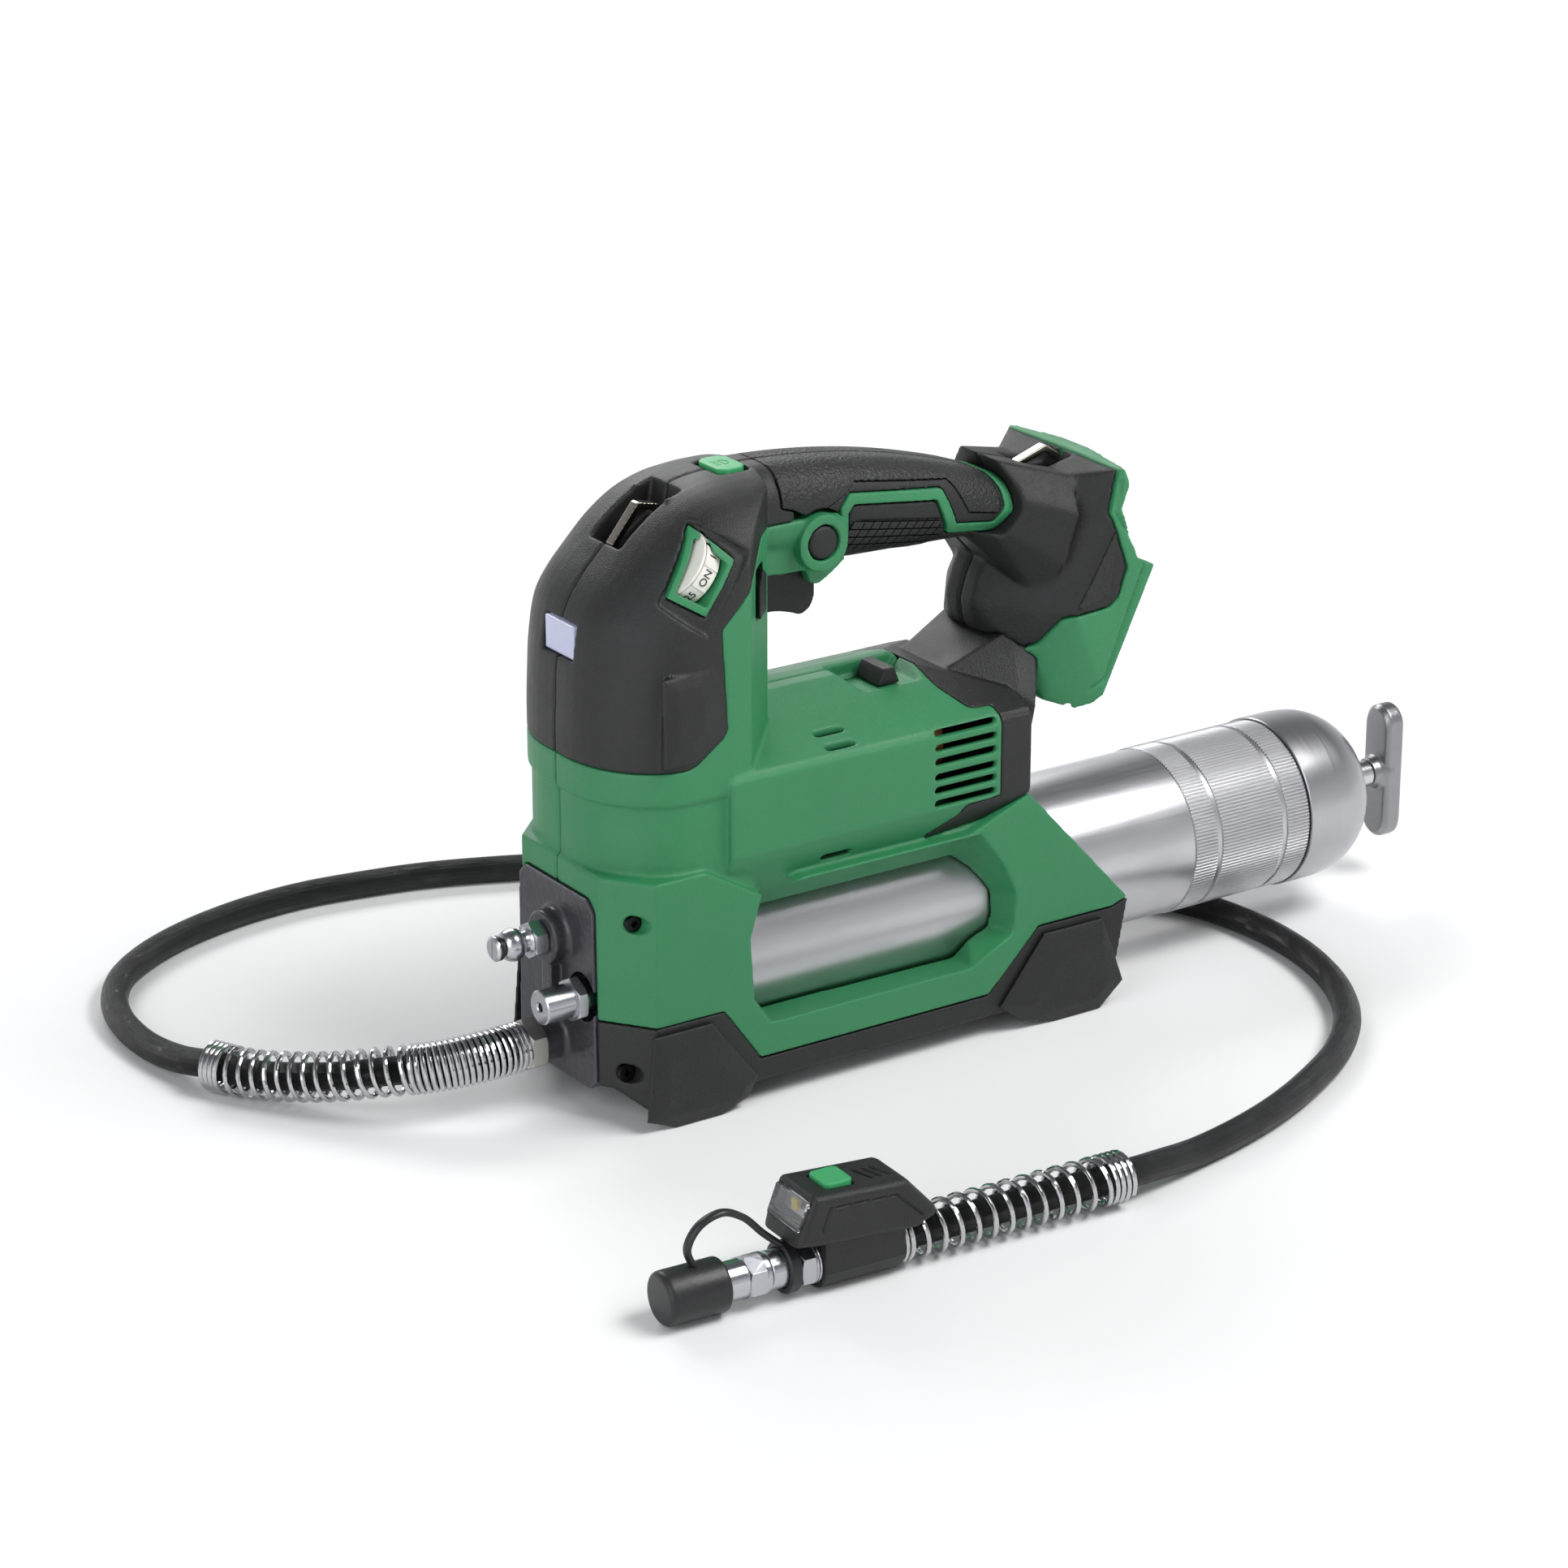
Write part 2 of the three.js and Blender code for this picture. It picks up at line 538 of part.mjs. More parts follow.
const MOUNT_CENTRE = [-77, 106];
const mountSolid = cut(convexPoints(MOUNT_POINTS, 1, ...MOUNT_CENTRE), BEHIND_MOUNT);
const mountHollow = meet(
  cut(convexPoints(MOUNT_POINTS, 0.9, ...MOUNT_CENTRE), slab(railRegion(-60, 90, -12, 60), -70, 70)),
  block(-200, 0, -60, 60, 40, 130.5),
);
const neckSolid = convexPoints(
  [[-118, 80, 12], [-101.3, 80.5, 16.5], [-99, 74, 29], [-92.2, 91.5, 16.5], [-84, 90, 19], [-90, 81, 26],
    [-95, 70.4, 33], [-97, 66, 34], [-101.5, 60, 34], [-101.5, 45, 34]],
  1, 0, 0,
);
const rearBody = cut(
  join(meet(handleShape, LOWER_GRIP_REGION), cut(mountSolid, GRIP_REGION)),
  handleHollow, mountHollow, batteryBay, gripTrimCut,
);
const rearRingPocket = slab([[-83, 146], [-82, 136.6], [-64, 136.6], [-60.5, 146]], -7, 7);
const neckClearance = join(
  neckSolid, neckSolid.translate([GAP, 0, 0]), neckSolid.translate([0, 0, GAP]),
  neckSolid.translate([0, GAP, 0]), neckSolid.translate([0, -GAP, 0]), neckSolid.translate([GAP, 0, GAP]),
);
const mountBody = cut(rearBody, SKIRT_REGION, rearRingPocket, eyeSocket(rearEye), neckClearance);
add("battery_mount_left", meet(mountBody, LEFT), BLACK, 0.7);
add("battery_mount_right", meet(mountBody, RIGHT), BLACK, 0.7);
const skirt = cut(
  meet(mountSolid, eased(SKIRT_REGION, GAP, -GAP)),
  mountHollow, batteryBay, rearRingPocket, neckClearance,
);
add("battery_skirt", skirt, GREEN, 0.55);

const coverOutside = meet(
  join(panelBody, neckSolid),
  join(COVER_REGION, block(-101.5, -60, -60, 60, 38, 120)),
);
const panelShifted = [[-GAP, 0], [0, GAP], [0, -GAP], [GAP, 0]].map(([dx, dz]) => eased(panelBody, dx, dz));
const cover = cut(
  coverOutside,
  ...panelShifted.map((shifted) => cut(shifted, COVER_REGION)),
  panelHollow, barrelBore, eased(casing, GAP, GAP), eased(casing, 0, GAP), casing,
);
add("rear_cover", cover, BLACK, 0.7);

// ---------------------------------------------------------------- base tray and feet
const traySolid = meet(plate(CASE_PLAN, -40, 60), slab(TRAY_SIDE, -60, 60));
const trayPockets = [-1, 1].flatMap((side) => [[-243, -223, -9], [-200, -122, -27.2], [-98, -72, -9]].map(
  ([x0, x1, top]) => block(x0, x1, side > 0 ? 31.5 : -36.6, side > 0 ? 36.6 : -31.5, -40, top)));
const trayScrews = [-1, 1].map((side) =>
  crossRod(side > 0 ? 23 : -50, side > 0 ? 50 : -28.5, 3.1, 12, -250.5, -21.3));
const tray = cut(
  traySolid, rod(BARREL_FRONT - 3.6, 0, BORE_R, 40), ...trayPockets, ...trayScrews,
  cut(headPocket, block(-300, 0, -60, 60, -60, -30.4)),
);
add("base_tray", tray, BLACK, 0.7);

const FOOT_FACE = CASE_HALF + GAP;
const FOOT_OUTER = 42.4;
// A rubber foot: a block against the tray's side with a smaller raised face, and a pad under the tray.
function foot(outline, face, pad, side) {
  const ring = (points, y) => points.map(([x, z]) => new THREE.Vector3(x, side * y, z));
  const flank = solid(new ConvexGeometry([
    ...ring(outline, FOOT_FACE), ...ring(outline, FOOT_FACE + 1.2), ...ring(face, FOOT_OUTER),
  ]));
  const [x0, x1] = pad;
  const under = slab(
    [[x0, -AXIS_HEIGHT], [x0 - 2, -33.8], [x1 + 4, -33.8], [x1, -AXIS_HEIGHT]],
    side > 0 ? 24 : -FOOT_FACE - 1.2, side > 0 ? FOOT_FACE + 1.2 : -24,
  );
  return join(flank, under);
}
const FRONT_FOOT = [[-247, -7], [-225, -7], [-208, -29], [-212, -35.5], [-222, -39.2], [-239, -39.2],
  [-249.5, -35]];
const FRONT_FOOT_FACE = [[-241.5, -16.5], [-227.5, -16.5], [-213.5, -31], [-216, -34.5], [-239, -34.5],
  [-243, -31]];
const REAR_FOOT = [[-95.5, -7], [-71.5, -7], [-62.5, -31], [-71, -32.8], [-72.2, -39.2], [-91, -39.2],
  [-104, -36], [-113, -29]];
const REAR_FOOT_FACE = [[-87.5, -16], [-72, -16], [-70, -30], [-74, -34.5], [-90, -34.5], [-100, -30]];
for (const [side, suffix] of [[-1, "left"], [1, "right"]]) {
  add(`foot_front_${suffix}`, foot(FRONT_FOOT, FRONT_FOOT_FACE, [-239, -222], side), RUBBER, 0.85);
  add(`foot_rear_${suffix}`, foot(REAR_FOOT, REAR_FOOT_FACE, [-91, -72.2], side), RUBBER, 0.85);
}

// ---------------------------------------------------------------- pump head and its fittings
const FILL_Z = 16.8;
const VALVE_Y = -15;
const VALVE_Z = 0.5;
const OUTLET_Z = -18.3;
const PLUNGER_X = -230;
const PLUNGER_R = 4;
const HEAD_REAR = -222.2;
const SPIGOT_R = BARREL_R - BARREL_WALL - 0.4;
const pumpHead = cut(
  join(
    bar(headOutline(0), PLATE_X, -251.5),
    block(-251.6, HEAD_REAR, -20, 20, -28.8, 34.4),
    rod(HEAD_REAR - 0.1, BARREL_FRONT - 0.1, SPIGOT_R + 1.6, 32),
    rod(BARREL_FRONT - 0.2, -209, SPIGOT_R, 32),
    turned([[-262.6, 0], [-262.6, 8], [-262, 8.7], [-258.5, 8.7], [-256.5, 10.5], [-256.5, 0]], 20, 0, FILL_Z),
    turned([[-265, 0], [-265, 6.7], [-258.5, 6.7], [-256.5, 8.7], [-256.5, 0]], 20, 0, OUTLET_Z),
    slab([[-261, 12], [-261, -14], [-256.5, -14], [-256.5, 12]], -2.8, 2.8),
  ),
  rod(-260, -250, 8, 20, VALVE_Y, VALVE_Z),
  postRod(5, 50, PLUNGER_R + GAP, 16, PLUNGER_X, 0),
);
add("pump_head", pumpHead, CAST, 0.45, 0.6);

const nipple = join(
  hexRod(-267.6, -262.9, 12.4, 0, FILL_Z),
  turned([[-267.7, 0], [-267.7, 4.6], [-267, 4.6], [-267, 0]], 16, 0, FILL_Z),
  turned(
    [[-277, 0], [-277, 3.2], [-276, 4.6], [-274.4, 5.3], [-272.4, 5.3], [-270.4, 4.4], [-269, 3.4],
      [-267.5, 4.6], [-267.5, 0]],
    16, 0, FILL_Z,
  ),
);
add("fill_nipple", nipple, ZINC, 0.3, 0.9);
const bleederScrew = cut(
  turned(
    [[NIPPLE_TIP, 0], [NIPPLE_TIP, 3.6], [-279.8, 4.1], [-279.3, 4.1], [-278.9, 3.4], [-277.3, 3.2],
      [-277.3, 0]],
    16, 0, FILL_Z,
  ),
  block(-281, NIPPLE_TIP + 0.7, -0.5, 0.5, FILL_Z - 6, FILL_Z + 6).rotate([45, 0, 0])
    .translate([0, FILL_Z * Math.SQRT1_2, FILL_Z - FILL_Z * Math.SQRT1_2]),
);
add("bleeder_screw", bleederScrew, STEEL, 0.3, 0.9);
const reliefValve = cut(
  join(
    turned([[-272.6, 0], [-272.6, 5.2], [-272.2, 5.6], [-261.5, 5.6], [-261.5, 0]], 20, VALVE_Y, VALVE_Z),
    hexRod(-262, -258.4, 15, VALVE_Y, VALVE_Z),
    rod(-258.5, -250.3, 5.4, 16, VALVE_Y, VALVE_Z),
  ),
  rod(-274, -270, 1.3, 8, VALVE_Y, VALVE_Z),
);
add("relief_valve", reliefValve, ZINC, 0.3, 0.9);
const HOSE_R = 4.6;
const HOSE_START = -271.3;
add("hose_fitting", hexRod(-271, -265.3, 18, 0, OUTLET_Z), ZINC, 0.3, 0.9);

// The plunger hangs from a slotted yoke, which the crank pin drives up and down.
const YOKE_FRONT = -235;
const YOKE_REAR = -225;
const yoke = cut(
  block(YOKE_FRONT, YOKE_REAR, -14, 14, 50, 66),
  block(YOKE_FRONT - 1, YOKE_REAR + 1, -10, 10, 54, 62),
);
add("pump_plunger", join(yoke, postRod(16, 50.1, PLUNGER_R, 16, PLUNGER_X, 0)), STEEL, 0.25, 0.9);

// ---------------------------------------------------------------- barrel, cap and follower
const BAND_FRONT = -22.8; // the knurled band at the rear
const BAND_R = BARREL_R + 0.3;
const barrelTube = turned(
  [[BARREL_FRONT + 0.3, BARREL_R - BARREL_WALL], [BARREL_FRONT + 0.3, BARREL_R], [BAND_FRONT, BARREL_R],
    [BAND_FRONT + 0.4, BAND_R], [BARREL_REAR, BAND_R], [BARREL_REAR, BARREL_R - BARREL_WALL],
    [BARREL_FRONT + 0.3, BARREL_R - BARREL_WALL]],
  36,
);
add("barrel_tube", barrelTube, STEEL, 0.25, 0.95);
const barrelCap = turned(
  [[20, 24.6], [20, 26.6], [27.3, 26.6], [27.3, 29.6], [30, 29.6], [38, 29.3], [47, 27.6],
    [55, 24.2], [62, 19], [67, 13.2], [70.3, 7.5], [CAP_REAR, 6.4], [CAP_REAR, ROD_R + GAP],
    [68.4, ROD_R + GAP], [60, 16.5], [44, 24.6], [20, 24.6]],
  32,
);
add("barrel_cap", barrelCap, STEEL, 0.25, 0.95);
const PISTON_FRONT = -178;
const PISTON_REAR = -168;
add("follower_rod", rod(PISTON_REAR + 0.3, 76.2, ROD_R, 16), STEEL, 0.25, 0.95);
add(
  "follower_piston",
  turned([[PISTON_FRONT, 0], [PISTON_FRONT, 21], [PISTON_FRONT + 2, 26.4], [PISTON_FRONT + 4.5, 24.8],
    [PISTON_REAR - 3, 24.8], [PISTON_REAR, 26.4], [PISTON_REAR, 0]], 28),
  RUBBER, 0.8,
);
const SPRING_WIRE = 1;
add("follower_spring", coil(PISTON_REAR + 1.8, 47, 21, SPRING_WIRE, 10, 8, 0, 0), STEEL, 0.3, 0.9);
const T_X = 84.3;
const T_HALF = 24.5;
const tHandle = join(
  turned([[76.5, 0], [76.5, 5.2], [79, 5.6], [81.5, 7.2], [84, 7.2], [84, 0]], 16),
  roundedSlab(
    [[T_X - 4, -T_HALF + 4], [T_X - 2, -T_HALF], [T_X + 2, -T_HALF], [T_X + 4, -T_HALF + 4],
      [T_X + 4, T_HALF - 4], [T_X + 2, T_HALF], [T_X - 2, T_HALF], [T_X - 4, T_HALF - 4]],
    7, 3, 1.6, 2,
  ),
);
add("t_handle", tHandle, STEEL, 0.35, 0.85);

// ---------------------------------------------------------------- motor, gears and crank
const STATOR = [-144.6, -122.5];
const STATOR_R = MOTOR_BAY_R - 0.4;
const ROTOR_SHAFT_R = 3;
const stator = join(
  turned([[STATOR[0], 16.6], [STATOR[0], STATOR_R], [STATOR[1], STATOR_R], [STATOR[1], 16.6],
    [STATOR[0], 16.6]], 24, 0, MOTOR_Z),
  ...[0, 1, 2, 3, 4, 5].map((i) => meet(
    turned([[STATOR[0], 12.5], [STATOR[0], 17], [STATOR[1], 17], [STATOR[1], 12.5], [STATOR[0], 12.5]], 24),
    block(-300, 0, -3.6, 3.6, 0, 60),
  ).rotate([60 * i, 0, 0]).translate([0, 0, MOTOR_Z])),
);
add("motor_stator", stator, COPPER, 0.5, 0.6);

const MODULE = 1;
const SUN_TEETH = 12;
const PLANET_TEETH = 12;
const RING_TEETH = 36;
const ORBIT_R = (MODULE * (SUN_TEETH + PLANET_TEETH)) / 2;
const BACKLASH = 0.1; // each flank drawn back from the pitch point
// A gear's outline (y, z) round the origin, its first tooth (or gap) on +Z, plus `shift` teeth.
function gearOutline(teeth, shift, tip, root) {
  const pitchR = (MODULE * teeth) / 2;
  const quarter = Math.PI / teeth / 2;
  return Array.from({ length: teeth }, (_, i) => {
    const centre = (2 * Math.PI * (i + shift)) / teeth;
    const flank = (radius, half) =>
      [-half, half].map((a) => [radius * Math.sin(centre + a), radius * Math.cos(centre + a)]);
    const [rootA, rootB] = flank(pitchR + root, quarter * 1.55 - BACKLASH / pitchR);
    const [tipA, tipB] = flank(pitchR + tip, quarter * 0.5 - BACKLASH / pitchR);
    return [rootA, tipA, tipB, rootB];
  }).flat();
}
const SUN_X = [-196, -187];
const rotor = join(
  rod(-187.2, -107.6, ROTOR_SHAFT_R, 12, 0, MOTOR_Z),
  rod(STATOR[0] - 1, STATOR[1] + 1, 11.9, 20, 0, MOTOR_Z),
  bar(gearOutline(SUN_TEETH, 0, 0.85, -1.15), SUN_X[0], SUN_X[1]).translate([0, 0, MOTOR_Z]),
);
add("motor_rotor", rotor, STEEL, 0.35, 0.9);
const ringGear = cut(
  rod(-197.5, -185.5, GEAR_BAY_R - GAP, 24, 0, MOTOR_Z),
  bar(gearOutline(RING_TEETH, 0, -0.9, 1.15), -200, -180).translate([0, 0, MOTOR_Z]),
);
add("ring_gear", ringGear, STEEL, 0.4, 0.85);
const planetAngles = [0, 120, 240];
planetAngles.forEach((angle, i) => {
  // Half a tooth of turn puts a gap against the sun's tooth.
  const planet = cut(
    bar(gearOutline(PLANET_TEETH, 0.5, 0.85, -1.15), SUN_X[0] - 0.5, SUN_X[1]),
    rod(SUN_X[0] - 2, SUN_X[1] + 2, 2.6, 12),
  );
  const placed = planet.translate([0, 0, ORBIT_R]).rotate([angle, 0, 0]).translate([0, 0, MOTOR_Z]);
  add(`planet_gear_${i + 1}`, placed, STEEL, 0.4, 0.85);
});
const CARRIER_X = [-202, -198];
const carrier = join(
  rod(CARRIER_X[0], CARRIER_X[1], 17, 24, 0, MOTOR_Z),
  rod(-209.2, CARRIER_X[0] + 0.1, 5, 16, 0, MOTOR_Z),
  ...planetAngles.map((angle) => rod(CARRIER_X[1] - 0.1, SUN_X[1] + 0.5, 2.2, 12, 0, ORBIT_R)
    .rotate([angle, 0, 0]).translate([0, 0, MOTOR_Z])),
);
add("planet_carrier", carrier, STEEL, 0.4, 0.85);
const CRANK_R = 4.4; // half the plunger's stroke
const PIN_END = YOKE_REAR + 0.6; // the pin stops just short of the yoke
const crank = join(
  rod(-214.5, -209.5, 12, 24, 0, MOTOR_Z),
  rod(PIN_END, -214.4, 3.2, 12, 0, MOTOR_Z + CRANK_R),
);
add("crank_disc", crank, STEEL, 0.3, 0.9);
const FAN_X = [-113.5, -108];
const fan = cut(
  join(
    rod(FAN_X[1] - 1, FAN_X[1], 21.5, 20),
    rod(FAN_X[0], FAN_X[1], 6, 12),
    ...Array.from({ length: 9 }, (_, i) =>
      block(FAN_X[0], FAN_X[1] - 0.9, -0.7, 0.7, 5.5, 21.4).rotate([40 * i, 0, 0])),
  ),
  rod(FAN_X[0] - 1, FAN_X[1] + 1, ROTOR_SHAFT_R + GAP, 12),
);
add("cooling_fan", fan.translate([0, 0, MOTOR_Z]), BLACK, 0.6);

// ---------------------------------------------------------------- controls
const trigger = slab(
  [[-186.6, 118], [-184.6, 126.8], [-172.5, 126.8], [-166.6, 121.5], [-165.7, 116.8], [-167.2, 111.3],
    [-170.7, 108.9], [-174.7, 110.2], [-179.7, 111.5], [-186.6, 111.5]],
  -10, 10,
);
add("trigger", trigger, BLACK, 0.65);
add("trigger_switch", block(-186, -175.6, -8, 8, 128.8, 141), BLACK, 0.5);
add("lock_off_button", crossRod(-19.5, 19.5, 5.5, 20, -168.6, 134.6), BLACK, 0.6);
const lockBar = meet(
  slab(LOCK_BAR, -45, 45),
  plate(COLUMN_PLAN, 0, 200).translate([0.8, 0, 0]),
);
add("trigger_lock_bar", lockBar, BLACK, 0.6);

add("volume_dial", dialWheel(DIAL_R, 7.2), WHITE, 0.5);
const bezel = cut(
  slab(scaledBezel(0.99), -33, -21),
  slab(scaledBezel(0.72), -40, -20),
  dialSpace,
);
add("dial_bezel", bezel, GREEN, 0.5);
add("lamp_button", block(-199.4, -189.1, -7.4, 7.4, 155.6, 159.4), GREEN, 0.5);
const lampLens = join(
  block(-253.4, -248, -8.4, 8.4, 109.2, 120),
  block(-248.1, -245.6, -9.6, 9.6, 108, 120.6),
);
add("front_lamp", lampLens, CLEAR, 0.2);
const selector = join(
  slab([[-143.6, 80.2], [-141.2, 85.8], [-137.2, 85.8], [-135, 80.2]], SELECTOR_Y - 6.5, SELECTOR_Y + 6.5),
  block(-142, -136.6, SELECTOR_Y - 3, SELECTOR_Y + 3, 78.8, 80.3),
);
add("speed_selector", selector, BLACK, 0.6);
add("strap_ring_front", strapEye(frontEye, EYE_WIRE, 1.9), STEEL, 0.3, 0.9);
add("strap_ring_rear", strapEye(rearEye, EYE_WIRE, 1.9), STEEL, 0.3, 0.9);
add("controller_board", slab(railRegion(1, 34, -17, -14.5), -25, 25), 0x1d4a33, 0.6);
add("terminal_block", slab(railRegion(24, 40, -8.6, -1), -13, 13), BLACK, 0.6);

// ---------------------------------------------------------------- hose and its spring guards
// The hose's route along its centre line, from the outlet fitting to the light head.
const FLOOR_Z = -AXIS_HEIGHT + HOSE_R;
const GUARD_R = 8.25;
const GUARD_BORE_R = 5.7;
const GUARD_FLOOR_Z = -AXIS_HEIGHT + GUARD_R + 0.1;
const FRONT_ROUTE = [
  [HOSE_START, 0, OUTLET_Z], [-280, 0.1, -18.5], [-290, 2.2, -19.4], [-300, 6.5, -20.8], [-311, 16.3, -23.2],
  [-321, 27, -26.2], [-330, 39.4, -28.8], [-339, 53, -30.6], [-346, 67, GUARD_FLOOR_Z],
];
const LOOP_ROUTE = [
  [-350, 80, -32.8], [-352, 96, -34.3], [-351.5, 114, FLOOR_Z], [-348, 130, FLOOR_Z], [-342, 143, FLOOR_Z],
  [-333, 155, FLOOR_Z], [-320, 165.5, FLOOR_Z], [-304, 174.2, FLOOR_Z], [-287, 180.2, FLOOR_Z],
  [-268, 184, FLOOR_Z], [-248, 185, FLOOR_Z], [-227, 182.3, FLOOR_Z], [-204, 177.2, FLOOR_Z],
  [-172, 164.5, FLOOR_Z], [-120, 137, FLOOR_Z], [-80, 109, FLOOR_Z], [-45, 76, FLOOR_Z],
  [-15, 40, FLOOR_Z], [3, 8, FLOOR_Z], [9, -20, FLOOR_Z], [8.5, -42, FLOOR_Z], [4.5, -62, FLOOR_Z],
  [-3.5, -82, FLOOR_Z], [-16, -101, FLOOR_Z], [-36, -119.5, FLOOR_Z], [-60, -133.5, FLOOR_Z],
  [-80, -142.5, FLOOR_Z], [-100, -149, FLOOR_Z], [-122, -154.2, -34.2],
];
// The light head's axis: straight, on the ground, turned a little about Z.
const HEAD_ORIGIN = new THREE.Vector3(-262, -155, -30.3);
const HEAD_TURN = -THREE.MathUtils.degToRad(3.2);
const alongHead = (s) => [
  HEAD_ORIGIN.x + s * Math.cos(HEAD_TURN), HEAD_ORIGIN.y + s * Math.sin(HEAD_TURN), HEAD_ORIGIN.z,
];
const HOSE_END = 3.3;
const GUARD_END = 24; // rear face of the light body, with its gap
const REAR_ROUTE = [[-140, -158.2, -32], ...[106, 84, 62, 42, GUARD_END].map(alongHead)];
const curveThrough = (points) =>
  new THREE.CatmullRomCurve3(points.map((p) => new THREE.Vector3(...p)), false, "centripetal");
const hoseCurve = curveThrough([...FRONT_ROUTE, ...LOOP_ROUTE, ...REAR_ROUTE, alongHead(HOSE_END)]);
add("grease_hose", sweep(hoseCurve, HOSE_R, 8, 76), RUBBER, 0.5);
function guard(points, steps) {
  const curve = curveThrough(points);
  return cut(sweep(curve, GUARD_R, 16, steps), sweep(curve, GUARD_BORE_R, 10, steps));
}
add("spring_guard_front", guard(FRONT_ROUTE, 10), STEEL, 0.25, 0.95);
add("spring_guard_rear", guard(REAR_ROUTE.slice(1), 6), STEEL, 0.25, 0.95);

// ---------------------------------------------------------------- light head and coupler
const lightHead = new THREE.Group();
lightHead.position.copy(HEAD_ORIGIN);
lightHead.rotation.z = HEAD_TURN;
barrelFrame.add(lightHead);
const LENS_SIDE = [[-9.9, 22.4], [-13.2, 14.6], [-6.5, 14.6], [-4.8, 22.4]];
const BOX_SIDE = [
  [-9, 24], [-8, 24.8], [22.5, 23], [24, 22.2], [33.3, 12], [33.3, 9.2], [27, 6.4], [-3.8, 8.1], [-14.4, 9.6],
  [-13.2, 14.6],
];
const lightBody = cut(
  join(
    roundedSlab(BOX_SIDE, 10.5, 7.5, 2, 2),
    block(-3.8, GUARD_END - GAP, -8.6, 8.6, -2, 8),
    turned([[-3.8, 0], [-3.8, 8.6], [GUARD_END - GAP, 8.6], [GUARD_END - GAP, 0]], 24),
  ),
  rod(-5, 27, 5.9, 16),
  rod(GUARD_END - 0.1, 40, GUARD_R + 0.4, 20),
  slab([[-14, 23], [-15, 14.2], [-6.2, 14.2], [-4.4, 23]], -9, 9),
  block(-2.4, 7.7, -5.6, 5.6, 21.4, 30),
);
add("light_body", lightBody, BLACK, 0.6, 0, lightHead);
add("light_lens", slab(LENS_SIDE, -8.6, 8.6), CLEAR, 0.15, 0, lightHead);
add("light_button", block(-2.1, 7.4, -5.3, 5.3, 22.7, 25.3), GREEN, 0.5, 0, lightHead);
const coupler = join(
  rod(-49, -19.6, 4.2, 16),
  rod(-19.7, -10.5, 6, 20),
  hexRod(-10.6, -5.7, 15.8, 0, 0),
  turned([[-5.8, 0], [-5.8, 5.4], [3, 5.4], [3, 0]], 16),
);
add("coupler_body", coupler, ZINC, 0.3, 0.9, lightHead);
const collar = cut(
  join(rod(-50, -27, 6, 20), hexRod(-27.6, -20, 14.5, 0, 0)),
  rod(-60, 0, 4.5, 16),
);
add("coupler_collar", collar, ZINC, 0.3, 0.9, lightHead);
const TETHER = [[-43, 0, 7.2], [-45.5, -0.5, 14], [-42, -1, 20.5], [-34.5, -1, 23], [-27, -0.5, 19.5],
  [-20, 0, 12.5], [-13.8, 0, 7]];
const cap = join(
  turned([[-54.6, 0], [-54.6, 7.4], [-53.6, 8.3], [-34.3, 8.3], [-34.3, 6.4], [-50.6, 6.4], [-50.6, 0]], 24),
  turned([[-14.4, 6.4], [-14.4, 7.9], [-11, 7.9], [-11, 6.4], [-14.4, 6.4]], 20),
  sweep(curveThrough(TETHER), 1.7, 6, 14),
  block(-38, -34.3, -1.5, 1.5, -8.7, -7),
);
add("coupler_cap", cap, RUBBER, 0.6, 0, lightHead);

export default assembly;
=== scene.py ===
import json
import math

import bmesh
import bpy
from mathutils import Matrix, Vector


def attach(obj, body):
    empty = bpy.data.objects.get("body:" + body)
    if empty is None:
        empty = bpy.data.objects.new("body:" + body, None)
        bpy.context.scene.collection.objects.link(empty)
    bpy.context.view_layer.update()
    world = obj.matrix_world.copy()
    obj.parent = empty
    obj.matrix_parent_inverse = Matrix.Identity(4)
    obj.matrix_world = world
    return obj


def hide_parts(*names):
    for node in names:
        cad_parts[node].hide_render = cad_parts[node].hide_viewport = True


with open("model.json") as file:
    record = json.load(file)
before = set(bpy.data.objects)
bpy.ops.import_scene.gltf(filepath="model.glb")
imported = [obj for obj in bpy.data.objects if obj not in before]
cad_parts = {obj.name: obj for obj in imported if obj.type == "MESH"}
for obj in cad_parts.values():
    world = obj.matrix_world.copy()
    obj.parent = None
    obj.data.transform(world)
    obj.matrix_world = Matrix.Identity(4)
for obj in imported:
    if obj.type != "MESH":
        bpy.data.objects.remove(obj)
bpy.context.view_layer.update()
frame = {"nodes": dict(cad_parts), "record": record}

# Cordless grease gun, visual model. Shapes are drawn in millimetres in the barrel's own frame, whose X axis
# is the barrel axis, and ROW lifts them into the row frame in metres.
MM = 0.001
ROW = Matrix.Diagonal((MM, MM, MM, 1)) @ Matrix.Translation((96.05, 0, 39.2))
GAP = 0.3
# Two widths that reach past both sides of the tool. Cutters take the wider one, so no two faces coincide.
SPAN = (-60, 60)
WIDE = (-70, 70)


# ---------------------------------------------------------------- camera
camera = bpy.data.objects.new("camera", bpy.data.cameras.new("camera"))
bpy.context.collection.objects.link(camera)
camera.data.lens = 108.65
camera.data.sensor_width = 36
camera.data.clip_end = 20
VIEW_RIGHT = Vector((0.8287, -0.5596, 0.0)).normalized()
VIEW_BACK = Vector((-0.5230, -0.7744, 0.3559)).normalized()
VIEW_UP = VIEW_BACK.cross(VIEW_RIGHT)
VIEW_FROM = Vector((-0.86945, -1.1769, 0.6287))
camera.matrix_world = Matrix.Translation(VIEW_FROM) @ Matrix(
    (VIEW_RIGHT, VIEW_UP, VIEW_BACK)).transposed().to_4x4()
bpy.context.scene.camera = camera


